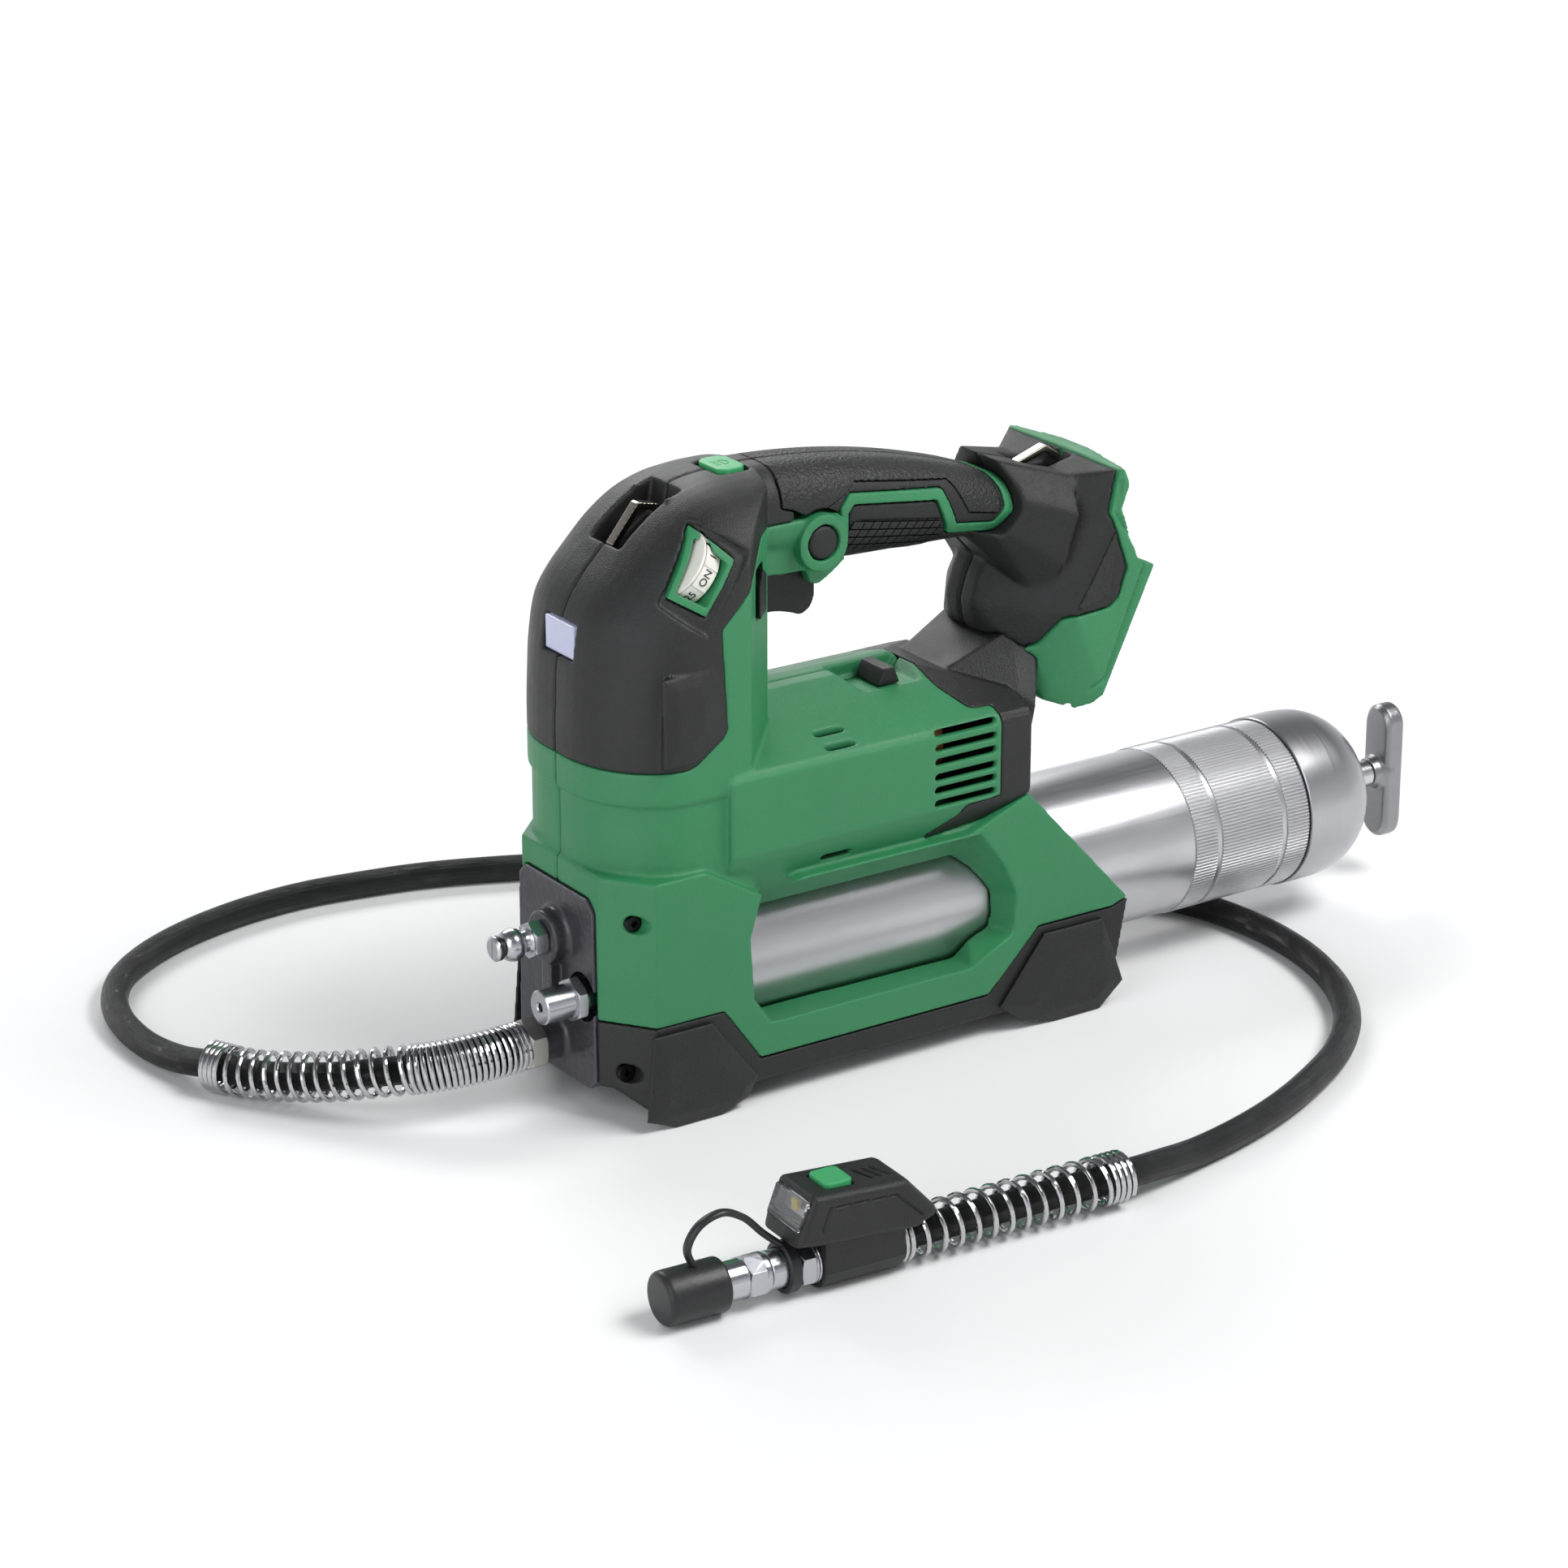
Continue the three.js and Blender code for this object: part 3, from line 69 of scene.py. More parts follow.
# ---------------------------------------------------------------- mesh tools
def mesh_of(bm):
    mesh = bpy.data.meshes.new("made")
    bmesh.ops.recalc_face_normals(bm, faces=bm.faces)
    bm.to_mesh(mesh)
    bm.free()
    return mesh


def hull(points):
    bm = bmesh.new()
    for point in points:
        bm.verts.new(point)
    made = bmesh.ops.convex_hull(bm, input=bm.verts)
    spare = {v for v in made["geom_interior"] + made["geom_unused"] if isinstance(v, bmesh.types.BMVert)}
    bmesh.ops.delete(bm, geom=list(spare), context="VERTS")
    bmesh.ops.dissolve_limit(bm, angle_limit=0.002, verts=bm.verts, edges=bm.edges)
    return mesh_of(bm)


def loft(rings, closed=False):
    """A solid through rings of points, capped at both ends unless it closes on itself."""
    bm = bmesh.new()
    rows = [[bm.verts.new(point) for point in ring] for ring in rings]
    if not closed:
        bm.faces.new(rows[0])
        bm.faces.new(rows[-1])
    for a, b in zip(rows, rows[1:] + (rows[:1] if closed else [])):
        for i in range(len(a)):
            k = (i + 1) % len(a)
            bm.faces.new((a[i], a[k], b[k], b[i]))
    return mesh_of(bm)


def level(outline, y):
    """A side outline's points at one distance across the tool."""
    return [(x, y, z) for x, z in outline]


def slab(outline, low, high):
    return loft((level(outline, low), level(outline, high)))


def bar(outline, low, high):
    return loft([[(x, y, z) for y, z in outline] for x in (low, high)])


def plate(outline, low, high):
    return loft([[(x, y, z) for x, y in outline] for z in (low, high)])


def block(x0, x1, y0, y1, z0, z1):
    return plate([(x0, y0), (x1, y0), (x1, y1), (x0, y1)], z0, z1)


def full_turn(count):
    """Equal angles round a full circle."""
    return [2 * math.pi * i / count for i in range(count)]


def circle(radius, cx, cy, sides):
    return [(cx + radius * math.cos(t), cy + radius * math.sin(t)) for t in full_turn(sides)]


def lathe(profile, sides=64, y=0.0, z=0.0, closed=False):
    """A solid of revolution about a line parallel to X; profile points are (x, radius)."""
    bm = bmesh.new()
    rings = []
    for x, radius in profile:
        if radius < 1e-6:
            rings.append([bm.verts.new((x, y, z))])
            continue
        rings.append([bm.verts.new((x, y + radius * math.sin(t), z + radius * math.cos(t)))
                      for t in full_turn(sides)])
    pairs = list(zip(rings, rings[1:]))
    if closed:
        pairs.append((rings[-1], rings[0]))
    for a, b in pairs:
        for i in range(sides):
            k = (i + 1) % sides
            corner = [a[i % len(a)], a[k % len(a)], b[k % len(b)], b[i % len(b)]]
            bm.faces.new(list(dict.fromkeys(corner)))
    return mesh_of(bm)


def rod(x0, x1, radius, sides=48, y=0.0, z=0.0):
    return lathe([(x0, 0), (x0, radius), (x1, radius), (x1, 0)], sides, y, z)


def rod_y(y0, y1, radius, x, z, sides=48):
    return slab(circle(radius, x, z, sides), y0, y1)


def rod_z(z0, z1, radius, x, y, sides=40):
    return plate(circle(radius, x, y, sides), z0, z1)


def hexagon(x0, x1, corners, y=0.0, z=0.0, chamfer=0.8):
    """A hex nut along X with its corners chamfered at both ends."""
    r = corners / 2
    outline = [(y + r * math.sin(t), z + r * math.cos(t)) for t in full_turn(6)]
    run = chamfer * 0.6
    trim = lathe([(x0, 0), (x0, r - chamfer), (x0 + run, r + 0.05), (x1 - run, r + 0.05), (x1, r - chamfer),
                  (x1, 0)], 48, y, z)
    return combine(bar(outline, x0, x1), ("INTERSECT", trim))


def holder(mesh):
    obj = bpy.data.objects.new("work", mesh)
    bpy.context.scene.collection.objects.link(obj)
    return obj


def evaluated_mesh(obj):
    graph = bpy.context.evaluated_depsgraph_get()
    return bpy.data.meshes.new_from_object(obj.evaluated_get(graph))


def combine(base, *steps):
    """Exact booleans: each step is an operation's name and its meshes, which are left as they are."""
    work = holder(base)
    helpers = []
    for operation, *others in steps:
        for other in others:
            helper = holder(other)
            helper.hide_render = True
            modifier = work.modifiers.new("cut", "BOOLEAN")
            modifier.operation = operation
            modifier.solver = "EXACT"
            modifier.object = helper
            helpers.append(helper)
    made = evaluated_mesh(work)
    for helper in [work, *helpers]:
        bpy.data.objects.remove(helper)
    return made


def copies(mesh, *shifts):
    """The mesh shifted to each place, as separate meshes."""
    made = []
    for shift in shifts:
        twin = mesh.copy()
        twin.transform(Matrix.Translation(shift))
        made.append(twin)
    return made


def softened(mesh, voxel=0.6, rounds=6, keep=0.35):
    """Remeshes a solid finely and relaxes it, so its edges are rounded as moulded ones are."""
    work = holder(mesh)
    remesh = work.modifiers.new("remesh", "REMESH")
    remesh.mode = "VOXEL"
    remesh.voxel_size = voxel
    relax = work.modifiers.new("relax", "SMOOTH")
    relax.factor = 0.5
    relax.iterations = rounds
    thin = work.modifiers.new("thin", "DECIMATE")
    thin.ratio = keep
    made = evaluated_mesh(work)
    bpy.data.objects.remove(work)
    return made


def shade(mesh, sharp_degrees):
    mesh.polygons.foreach_set("use_smooth", [True] * len(mesh.polygons))
    if sharp_degrees < 180:
        mesh.set_sharp_from_angle(angle=math.radians(sharp_degrees))


def piece(name, mesh, body, material, slot, stands_for=(), sharp=35, place=None):
    """A finished piece of the object: a mesh in barrel millimetres, put in the row frame."""
    mesh.transform(ROW if place is None else ROW @ place)
    mesh.materials.clear()
    mesh.materials.append(material)
    shade(mesh, sharp)
    obj = bpy.data.objects.new(name, mesh)
    bpy.context.scene.collection.objects.link(obj)
    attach(obj, body)
    if stands_for:
        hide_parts(*stands_for)
    return obj


# ---------------------------------------------------------------- curves
def through(points, step):
    """A centripetal Catmull-Rom curve through the points, sampled about every `step`."""
    points = [Vector(p) for p in points]
    ends = [2 * points[0] - points[1], *points, 2 * points[-1] - points[-2]]
    line = [points[0]]
    for a, b, c, d in zip(ends, ends[1:], ends[2:], ends[3:]):
        t1 = (b - a).length ** 0.5
        t2 = t1 + (c - b).length ** 0.5
        t3 = t2 + (d - c).length ** 0.5
        count = max(2, math.ceil((c - b).length / step))
        for i in range(1, count + 1):
            t = t1 + (t2 - t1) * i / count
            a1 = a * ((t1 - t) / t1) + b * (t / t1)
            a2 = b * ((t2 - t) / (t2 - t1)) + c * ((t - t1) / (t2 - t1))
            a3 = c * ((t3 - t) / (t3 - t2)) + d * ((t - t2) / (t3 - t2))
            b1 = a1 * ((t2 - t) / t2) + a2 * (t / t2)
            b2 = a2 * ((t3 - t) / (t3 - t1)) + a3 * ((t - t1) / (t3 - t1))
            line.append(b1 * ((t2 - t) / (t2 - t1)) + b2 * ((t - t1) / (t2 - t1)))
    return line


def frames_along(line):
    """Direction and two sideways directions at each point, turned as little as possible."""
    directions = []
    for i in range(len(line)):
        before, after = line[max(i - 1, 0)], line[min(i + 1, len(line) - 1)]
        directions.append((after - before).normalized())
    side = directions[0].orthogonal().normalized()
    frames = []
    for direction in directions:
        side = (side - direction * side.dot(direction)).normalized()
        frames.append((direction, side, direction.cross(side)))
    return frames


def tube(line, radius, sides=16):
    """A closed tube along a line of points; its UV map holds the turn and the distance along it."""
    bm = bmesh.new()
    uv = bm.loops.layers.uv.new("UVMap")
    rings = []
    distance = [0.0]
    for a, b in zip(line, line[1:]):
        distance.append(distance[-1] + (b - a).length)
    for point, (_, u, v) in zip(line, frames_along(line)):
        rings.append([bm.verts.new(point + radius * (math.cos(t) * u + math.sin(t) * v))
                      for t in full_turn(sides)])
    for row, (a, b) in enumerate(zip(rings, rings[1:])):
        for i in range(sides):
            k = (i + 1) % sides
            face = bm.faces.new((a[i], a[k], b[k], b[i]))
            for loop, place in zip(face.loops, ((i, row), (i + 1, row), (i + 1, row + 1), (i, row + 1))):
                loop[uv].uv = (place[0] / sides, distance[place[1]])
    bm.faces.new(reversed(rings[0]))
    bm.faces.new(rings[-1])
    return mesh_of(bm)


def coil_line(line, radius, pitches):
    """A helix round a line; pitches lists (turns, advance per turn) from the line's start."""
    distance = [0.0]
    for a, b in zip(line, line[1:]):
        distance.append(distance[-1] + (b - a).length)
    frames = frames_along(line)
    total = sum(turns * pitch for turns, pitch in pitches)
    stretch = distance[-1] / total
    steps = 22
    made = []
    s, turn, k = 0.0, 0.0, 0
    for turns, pitch in pitches:
        for _ in range(round(turns * steps)):
            while k < len(line) - 2 and distance[k + 1] < s:
                k += 1
            share = (s - distance[k]) / (distance[k + 1] - distance[k])
            centre = line[k].lerp(line[k + 1], min(max(share, 0), 1))
            _, u, v = frames[k]
            angle = 2 * math.pi * turn
            made.append(centre + radius * (math.cos(angle) * u + math.sin(angle) * v))
            turn += 1 / steps
            s += pitch * stretch / steps
    return made


# ---------------------------------------------------------------- materials
class Shader:
    """A material whose nodes are made and joined by short calls."""

    def __init__(self, name):
        self.material = bpy.data.materials.new(name)
        self.material.use_nodes = True
        self.tree = self.material.node_tree
        self.surface = self.tree.nodes["Principled BSDF"]
        self.place = self.tree.nodes.new("ShaderNodeTexCoord").outputs["Object"]

    def node(self, kind, inputs=None, **settings):
        made = self.tree.nodes.new("ShaderNode" + kind)
        for key, value in settings.items():
            setattr(made, key, value)
        for key, value in (inputs or {}).items():
            self.give(made.inputs[key], value)
        return made

    def give(self, socket, value):
        if isinstance(value, bpy.types.NodeSocket):
            self.tree.links.new(value, socket)
        else:
            socket.default_value = value

    def set(self, **values):
        for key, value in values.items():
            self.give(self.surface.inputs[key.replace("_", " ")], value)

    def noise(self, scale, detail=3.0, vector=None):
        made = self.node("TexNoise", {"Vector": vector or self.place, "Scale": scale, "Detail": detail,
                                      "Roughness": 0.55})
        return made.outputs["Fac"]

    def stretched(self, x, y, z):
        made = self.node("Mapping", {"Vector": self.place, "Scale": (x, y, z)})
        return made.outputs["Vector"]

    def cells(self, scale, vector=None):
        made = self.node("TexVoronoi", {"Vector": vector or self.place, "Scale": scale},
                         feature="DISTANCE_TO_EDGE")
        return made.outputs["Distance"]

    def range(self, value, low, high, to_low, to_high):
        made = self.node("MapRange", {"Value": value, "From Min": low, "From Max": high,
                                      "To Min": to_low, "To Max": to_high})
        return made.outputs["Result"]

    def maths(self, operation, first, second=0.0):
        made = self.node("Math", operation=operation)
        self.give(made.inputs[0], first)
        self.give(made.inputs[1], second)
        return made.outputs[0]

    def mix(self, share, first, second):
        made = self.node("Mix", data_type="RGBA")
        self.give(made.inputs[0], share)
        self.give(made.inputs[6], first)
        self.give(made.inputs[7], second)
        return made.outputs[2]

    def edge(self, radius):
        """1 on edges and 0 on flats, from how far the rounded normal turns away."""
        rounded = self.node("Bevel", {"Radius": radius}, samples=4).outputs["Normal"]
        flat = self.node("NewGeometry").outputs["Normal"]
        turned = self.node("VectorMath", operation="DOT_PRODUCT")
        self.give(turned.inputs[0], rounded)
        self.give(turned.inputs[1], flat)
        return self.range(turned.outputs["Value"], 1.0, 0.85, 0.0, 1.0)

    def bump(self, height, distance, strength=1.0, rounding=0.0):
        made = self.node("Bump", {"Height": height, "Distance": distance, "Strength": strength})
        if rounding:
            rounded = self.node("Bevel", {"Radius": rounding}, samples=4)
            self.give(made.inputs["Normal"], rounded.outputs["Normal"])
        self.set(Normal=made.outputs["Normal"])


def scaled_color(color, factor, lift=0.0):
    return tuple(min(1, channel * factor + lift) for channel in color) + (1,)


def moulded(name, color, roughness, grain=2600, depth=0.00006, edge_highlight=0.12, rounding=0.0004, soft=0.06):
    """Moulded plastic or rubber: fine grain, faint mottling, and a painted highlight that makes its edges
    paler.
    """
    s = Shader(name)
    lighter = scaled_color(color, 1.35, soft * 0.25)
    cloud = s.noise(22, 4)
    fine = s.noise(grain, 2)
    base = s.mix(s.range(cloud, 0.3, 0.7, 0.0, 0.35), (*color, 1), scaled_color(color, 0.82))
    speck = s.mix(s.range(fine, 0.55, 0.8, 0.0, 0.22), base, lighter)
    # Painted highlight: the edges that the Bevel node finds are mixed towards the paler colour.
    s.set(Base_Color=s.mix(s.maths("MULTIPLY", s.edge(0.0008), edge_highlight), speck, lighter))
    s.set(Roughness=s.range(s.noise(60, 3), 0.3, 0.7, roughness - 0.06, roughness + 0.06))
    s.set(IOR=1.48)
    s.bump(s.maths("ADD", fine, s.maths("MULTIPLY", s.cells(grain * 0.45), 0.5)), depth, 1.0, rounding)
    return s.material


def metal(name, color, roughness, brushed=None, depth=0.00001, dirt=0.0, pitted=0.0):
    """Bare or plated metal; `brushed` stretches its fine scratches along one direction."""
    s = Shader(name)
    r, g, b = color
    scratches = s.noise(900, 4, s.stretched(*(brushed or (1, 1, 1))))
    cloud = s.noise(30, 4)
    dull = (r * 0.72, g * 0.72, b * 0.74, 1)
    base = s.mix(s.range(cloud, 0.35, 0.7, 0.0, 0.35 + dirt), (r, g, b, 1), dull)
    s.set(Base_Color=s.mix(s.range(scratches, 0.5, 0.8, 0.0, 0.14), base, dull))
    s.set(Metallic=1.0)
    s.set(Roughness=s.maths("ADD", s.range(scratches, 0.3, 0.7, roughness * 0.92, roughness * 1.1),
                            s.range(cloud, 0.4, 0.8, 0.0, 0.06 + dirt)))
    height = scratches
    if pitted:
        height = s.maths("ADD", scratches, s.maths("MULTIPLY", s.noise(260, 5), pitted))
    s.bump(height, depth, 1.0, 0.00025)
    return s.material


green_plastic = moulded("green_plastic", (0.026, 0.2, 0.078), 0.45, depth=0.00016, edge_highlight=0.3)
black_plastic = moulded("black_plastic", (0.0075, 0.0075, 0.008), 0.46, depth=0.00018, edge_highlight=0.2, soft=0.1)
grip_rubber = moulded("grip_rubber", (0.0065, 0.0065, 0.007), 0.55, grain=1900, depth=0.00022, soft=0.08)
textured_rubber = moulded("textured_rubber", (0.009, 0.009, 0.0095), 0.5, grain=1000, depth=0.0005, soft=0.1)
foot_rubber = moulded("foot_rubber", (0.009, 0.009, 0.0095), 0.5, grain=1800, depth=0.00024, edge_highlight=0.25,
                      soft=0.1)
glossy_black = moulded("glossy_black", (0.008, 0.008, 0.009), 0.3, grain=700, depth=0.00003)
head_paint = moulded("head_paint", (0.038, 0.037, 0.046), 0.3, grain=420, depth=0.00016, edge_highlight=0.8, soft=0.3)
white_plastic = moulded("white_plastic", (0.74, 0.73, 0.68), 0.38, depth=0.00002, edge_highlight=0.0)
ink = moulded("ink", (0.02, 0.02, 0.022), 0.45, depth=0.00001, edge_highlight=0.0)
barrel_steel = metal("barrel_steel", (0.55, 0.55, 0.57), 0.3, brushed=(0.05, 1, 1), depth=0.0000006)
knurl_steel = metal("knurl_steel", (0.55, 0.55, 0.56), 0.3, depth=0.000002, dirt=0.04)
cap_steel = metal("cap_steel", (0.45, 0.45, 0.47), 0.3, brushed=(1, 0.05, 0.05), depth=0.0000006)
turned_steel = metal("turned_steel", (0.6, 0.6, 0.62), 0.25, brushed=(1, 0.05, 0.05))
zinc = metal("zinc", (0.52, 0.53, 0.56), 0.2, depth=0.0000025, dirt=0.03)
cast_zinc = metal("cast_zinc", (0.3, 0.3, 0.31), 0.36, depth=0.00005, dirt=0.08, pitted=1.5)
chrome_wire = metal("chrome_wire", (0.55, 0.55, 0.56), 0.12, depth=0.000002)
nickel_wire = metal("nickel_wire", (0.42, 0.39, 0.34), 0.16)
worn_zinc = metal("worn_zinc", (0.5, 0.49, 0.46), 0.3, depth=0.00003, dirt=0.08)
screw_black = metal("screw_black", (0.03, 0.03, 0.033), 0.35)
reflector_grey = metal("reflector_grey", (0.5, 0.5, 0.52), 0.3)
bright_green = moulded("bright_green", (0.04, 0.34, 0.12), 0.42, depth=0.00003)
dark_green = moulded("dark_green", (0.025, 0.26, 0.09), 0.45, depth=0.00003)
cap_rubber = moulded("cap_rubber", (0.013, 0.013, 0.014), 0.42, grain=900, depth=0.00005, soft=0.1)
copper = metal("copper", (0.6, 0.26, 0.12), 0.35, brushed=(0.1, 1, 1))


def braided_hose():
    """Black hose cover over a braid that shows through, its gloss varying a little at random."""
    s = Shader("braided_hose")
    uv = s.node("UVMap", uv_map="UVMap").outputs["UV"]
    parts = s.node("SeparateXYZ", {"Vector": uv})
    around = s.maths("MULTIPLY", parts.outputs["X"], 14 * 2 * math.pi)
    along = s.maths("MULTIPLY", parts.outputs["Y"], 2 * math.pi / 0.0026)
    left = s.maths("SINE", s.maths("ADD", around, along))
    right = s.maths("SINE", s.maths("SUBTRACT", around, along))
    braid = s.maths("MAXIMUM", left, right)
    strand = s.range(braid, -0.2, 1.0, 0.0, 0.6)
    s.set(Base_Color=s.mix(strand, (0.006, 0.006, 0.007, 1), (0.02, 0.02, 0.022, 1)))
    s.set(Roughness=s.range(s.noise(80, 3), 0.3, 0.7, 0.28, 0.42))
    s.bump(s.maths("ADD", braid, s.maths("MULTIPLY", s.noise(500, 3), 0.4)), 0.00018)
    return s.material


def glass(name, color, roughness=0.08, glow=0.0, clear=0.35):
    """A clear moulded lens with a faint glow behind it and fine optic ribs."""
    s = Shader(name)
    ribs = s.node("TexWave", {"Vector": s.place, "Scale": 180.0, "Distortion": 0.0}, bands_direction="Z")
    cloud = s.range(s.noise(120, 3), 0.3, 0.7, 0.0, 0.3)
    s.set(Base_Color=s.mix(cloud, (*color, 1), scaled_color(color, 0.9)))
    s.set(Roughness=roughness, IOR=1.49, Transmission_Weight=clear)
    if glow:
        s.set(Emission_Color=(*color, 1), Emission_Strength=glow)
    s.bump(ribs.outputs["Fac"], 0.00005)
    return s.material


hose_cover = braided_hose()
lamp_glass = glass("lamp_glass", (0.62, 0.64, 0.85), 0.25, 0.12)
clear_glass = glass("clear_glass", (0.93, 0.95, 0.98), 0.04, clear=0.96)
led_yellow = moulded("led_yellow", (0.75, 0.55, 0.08), 0.4, depth=0.00002, edge_highlight=0.0)
board_green = moulded("board_green", (0.02, 0.10, 0.05), 0.4, depth=0.00003)

# The material and the slot of pieces that are made several times.
GREEN = (green_plastic, "green_housing")
BRIGHT = (bright_green, "green_housing")
BLACK = (black_plastic, "black_housing")
GRIP = (grip_rubber, "grip_rubber")
TEXTURED = (textured_rubber, "grip_rubber")
CAP_RUBBER = (cap_rubber, "black_rubber")
ZINC = (zinc, "zinc_plated")
TURNED = (turned_steel, "turned_steel")
HEAD_PAINT = (head_paint, "cast_head")
CHROME = (chrome_wire, "plated_wire")

MATERIAL_OF_SLOT = {
    "green_housing": green_plastic, "black_housing": black_plastic, "grip_rubber": grip_rubber,
    "black_rubber": foot_rubber, "turned_steel": turned_steel, "zinc_plated": zinc, "cast_head": head_paint,
    "barrel_steel": barrel_steel, "cap_steel": cap_steel, "copper_windings": copper,
    "white_dial": white_plastic, "lamp_lens": clear_glass, "plated_wire": chrome_wire,
    "circuit_board": board_green, "hose_rubber": hose_cover,
}
# Every CAD solid gets its slot's material, since some show through vents and in moved poses.
for subpart in frame["record"]["subparts"]:
    node = frame["nodes"][subpart["node"]]
    node.data.materials.clear()
    node.data.materials.append(MATERIAL_OF_SLOT[subpart["material_slot"]])


# ---------------------------------------------------------------- hose, its spring guards and its route
HOSE_R = 4.6
FLOOR = -39.2
HOSE_Z = FLOOR + HOSE_R
GUARD_R = 8.25
GUARD_Z = FLOOR + GUARD_R + 0.1
OUTLET_Z = -18.3
HEAD_ORIGIN = Vector((-262, -155, -30.3))
HEAD_TURN = math.radians(3.2)
HEAD = Matrix.Translation(HEAD_ORIGIN) @ Matrix.Rotation(-HEAD_TURN, 4, "Z")


def along_head(s):
    return HEAD_ORIGIN + s * Vector((math.cos(HEAD_TURN), -math.sin(HEAD_TURN), 0))


FRONT_ROUTE = [
    (-271.3, 0, OUTLET_Z), (-280, 0.1, -18.5), (-290, 2.2, -19.4), (-300, 6.5, -20.8), (-311, 16.3, -23.2),
    (-321, 27, -26.2), (-330, 39.4, -28.8), (-339, 53, -30.6), (-346, 67, GUARD_Z),
]
LOOP_ROUTE = [
    (-350, 80, -32.8), (-352, 96, -34.3), (-351.5, 114, HOSE_Z), (-348, 130, HOSE_Z), (-342, 143, HOSE_Z),
    (-333, 155, HOSE_Z), (-320, 165.5, HOSE_Z), (-304, 174.2, HOSE_Z), (-287, 180.2, HOSE_Z),
    (-268, 184, HOSE_Z), (-248, 185, HOSE_Z), (-227, 182.3, HOSE_Z), (-204, 177.2, HOSE_Z),
    (-172, 164.5, HOSE_Z), (-120, 137, HOSE_Z), (-80, 109, HOSE_Z), (-45, 76, HOSE_Z),
    (-15, 40, HOSE_Z), (3, 8, HOSE_Z), (9, -20, HOSE_Z), (8.5, -42, HOSE_Z), (4.5, -62, HOSE_Z),
    (-3.5, -82, HOSE_Z), (-16, -101, HOSE_Z), (-36, -119.5, HOSE_Z), (-60, -133.5, HOSE_Z),
    (-80, -142.5, HOSE_Z), (-100, -149, HOSE_Z), (-122, -154.2, -34.2),
]
REAR_ROUTE = [(-140, -158.2, -32), *[tuple(along_head(s)) for s in (106, 84, 62, 42, 24)]]
hose_line = through([*FRONT_ROUTE, *LOOP_ROUTE, *REAR_ROUTE, tuple(along_head(3.3))], 3)
hose = piece("hose", tube(hose_line, HOSE_R, 20), "tool", hose_cover, "hose_rubber", ["grease_hose"])

WIRE_R = 0.92
COIL_R = GUARD_R - WIRE_R
front_coil = coil_line(through(FRONT_ROUTE, 2), COIL_R, [(20, 1.95), (14, 4.9), (4, 1.95)])
guard_front = piece("guard_front", tube(front_coil, WIRE_R, 8), "tool", *CHROME, ["spring_guard_front"])
rear_coil = coil_line(through(REAR_ROUTE[1:][::-1], 2), COIL_R, [(1.5, 1.95), (12, 5.6), (4, 1.95)])
guard_rear = piece("guard_rear", tube(rear_coil, WIRE_R, 8), "tool", *CHROME, ["spring_guard_rear"])


# ---------------------------------------------------------------- outlines of the moulded body
def inset_outline(points, distance):
    """A convex outline drawn in by `distance` on every side."""
    points = list(points)
    nexts = points[1:] + points[:1]
    turn = math.copysign(1, sum(ax * by - bx * ay for (ax, ay), (bx, by) in zip(points, nexts)))
    left = points
    for (ax, ay), (bx, by) in zip(points, nexts):
        length = math.hypot(bx - ax, by - ay)
        nx, ny = -turn * (by - ay) / length, turn * (bx - ax) / length
        kept = []
        for (px, py), (qx, qy) in zip(left, left[1:] + left[:1]):
            a = (px - ax) * nx + (py - ay) * ny - distance
            b = (qx - ax) * nx + (qy - ay) * ny - distance
            if a >= 0:
                kept.append((px, py))
            if a * b < 0:
                kept.append((px + a / (a - b) * (qx - px), py + a / (a - b) * (qy - py)))
        left = kept
    return left


def rounded_slab(points, half, flat, inset, steps=12, shrink=0.0):
    """A convex side outline across the tool, rounded back towards both sides."""
    corners = []
    for step in range(steps + 1):
        angle = step / steps * math.pi / 2
        y = flat + (half - flat) * math.sin(angle)
        for x, z in inset_outline(points, shrink + inset * (1 - math.cos(angle))):
            corners += [(x, y, z), (x, -y, z)]
    return hull(corners)


def smooth_outline(points, step=3.0):
    return [(p.x, p.z) for p in through([(x, 0, z) for x, z in points], step)]


HOOD_HALF = 38
HOOD_FLAT = 6
HOOD_ROUND = 26
HOOD_OUTLINE = [
    (-256.5, 8),
    *smooth_outline([(-256.4, 88), (-255.3, 108), (-252.2, 123.6), (-247, 132), (-240, 139.6), (-231, 148.2),
                     (-220.5, 155), (-210, 158.4), (-199, 159.6)]),
    (-187.5, 159.6), (-187.5, 8),
]
COLUMN_PLAN = [(-270, -45), (-207.5, -45), (-207.5, -36.6), (-187.5, -17), (-187.5, 17), (-207.5, 36.6),
               (-207.5, 45), (-270, 45)]
HANDLE_TOP = [(-222, 156), (-199, 159.6), (-173, 159.2), (-142, 155.2), (-112, 147.8), (-84, 138)]
HANDLE_OUTLINE = [*smooth_outline(HANDLE_TOP, 5), (-84, 113), (-134, 120.6), (-153, 123.6), (-222, 126)]
MOUNT_POINTS = [
    (-55.8, 144, 5), (-59.2, 142.9, 31), (-59.5, 139, 32.5), (-50, 110.4, 36), (-69.7, 69.3, 36),
    (-73, 66.6, 34.5), (-78.4, 65.2, 32), (-87.5, 68.5, 27), (-93, 79, 20), (-94, 86, 20),
    (-89, 98.5, 25), (-71, 138.6, 22), (-102.5, 99, 7), (-101, 91, 7), (-100, 107.5, 7), (-82.8, 138.2, 9),
    (-79.5, 97, 34), (-65.8, 127, 33.5),
]
NECK_POINTS = [
    (-118, 80, 12), (-101.3, 80.5, 16.5), (-99, 74, 29), (-92.2, 91.5, 16.5), (-84, 90, 19), (-90, 81, 26),
    (-95, 70.4, 33), (-97, 66, 34), (-101.5, 60, 34), (-101.5, 45, 34),
]
CASE_HALF = 39.7
CASE_PLAN = [(-256.6, -23.6), (-245, -CASE_HALF), (-40, -CASE_HALF), (-40, CASE_HALF), (-238, CASE_HALF),
             (-256.6, 21)]
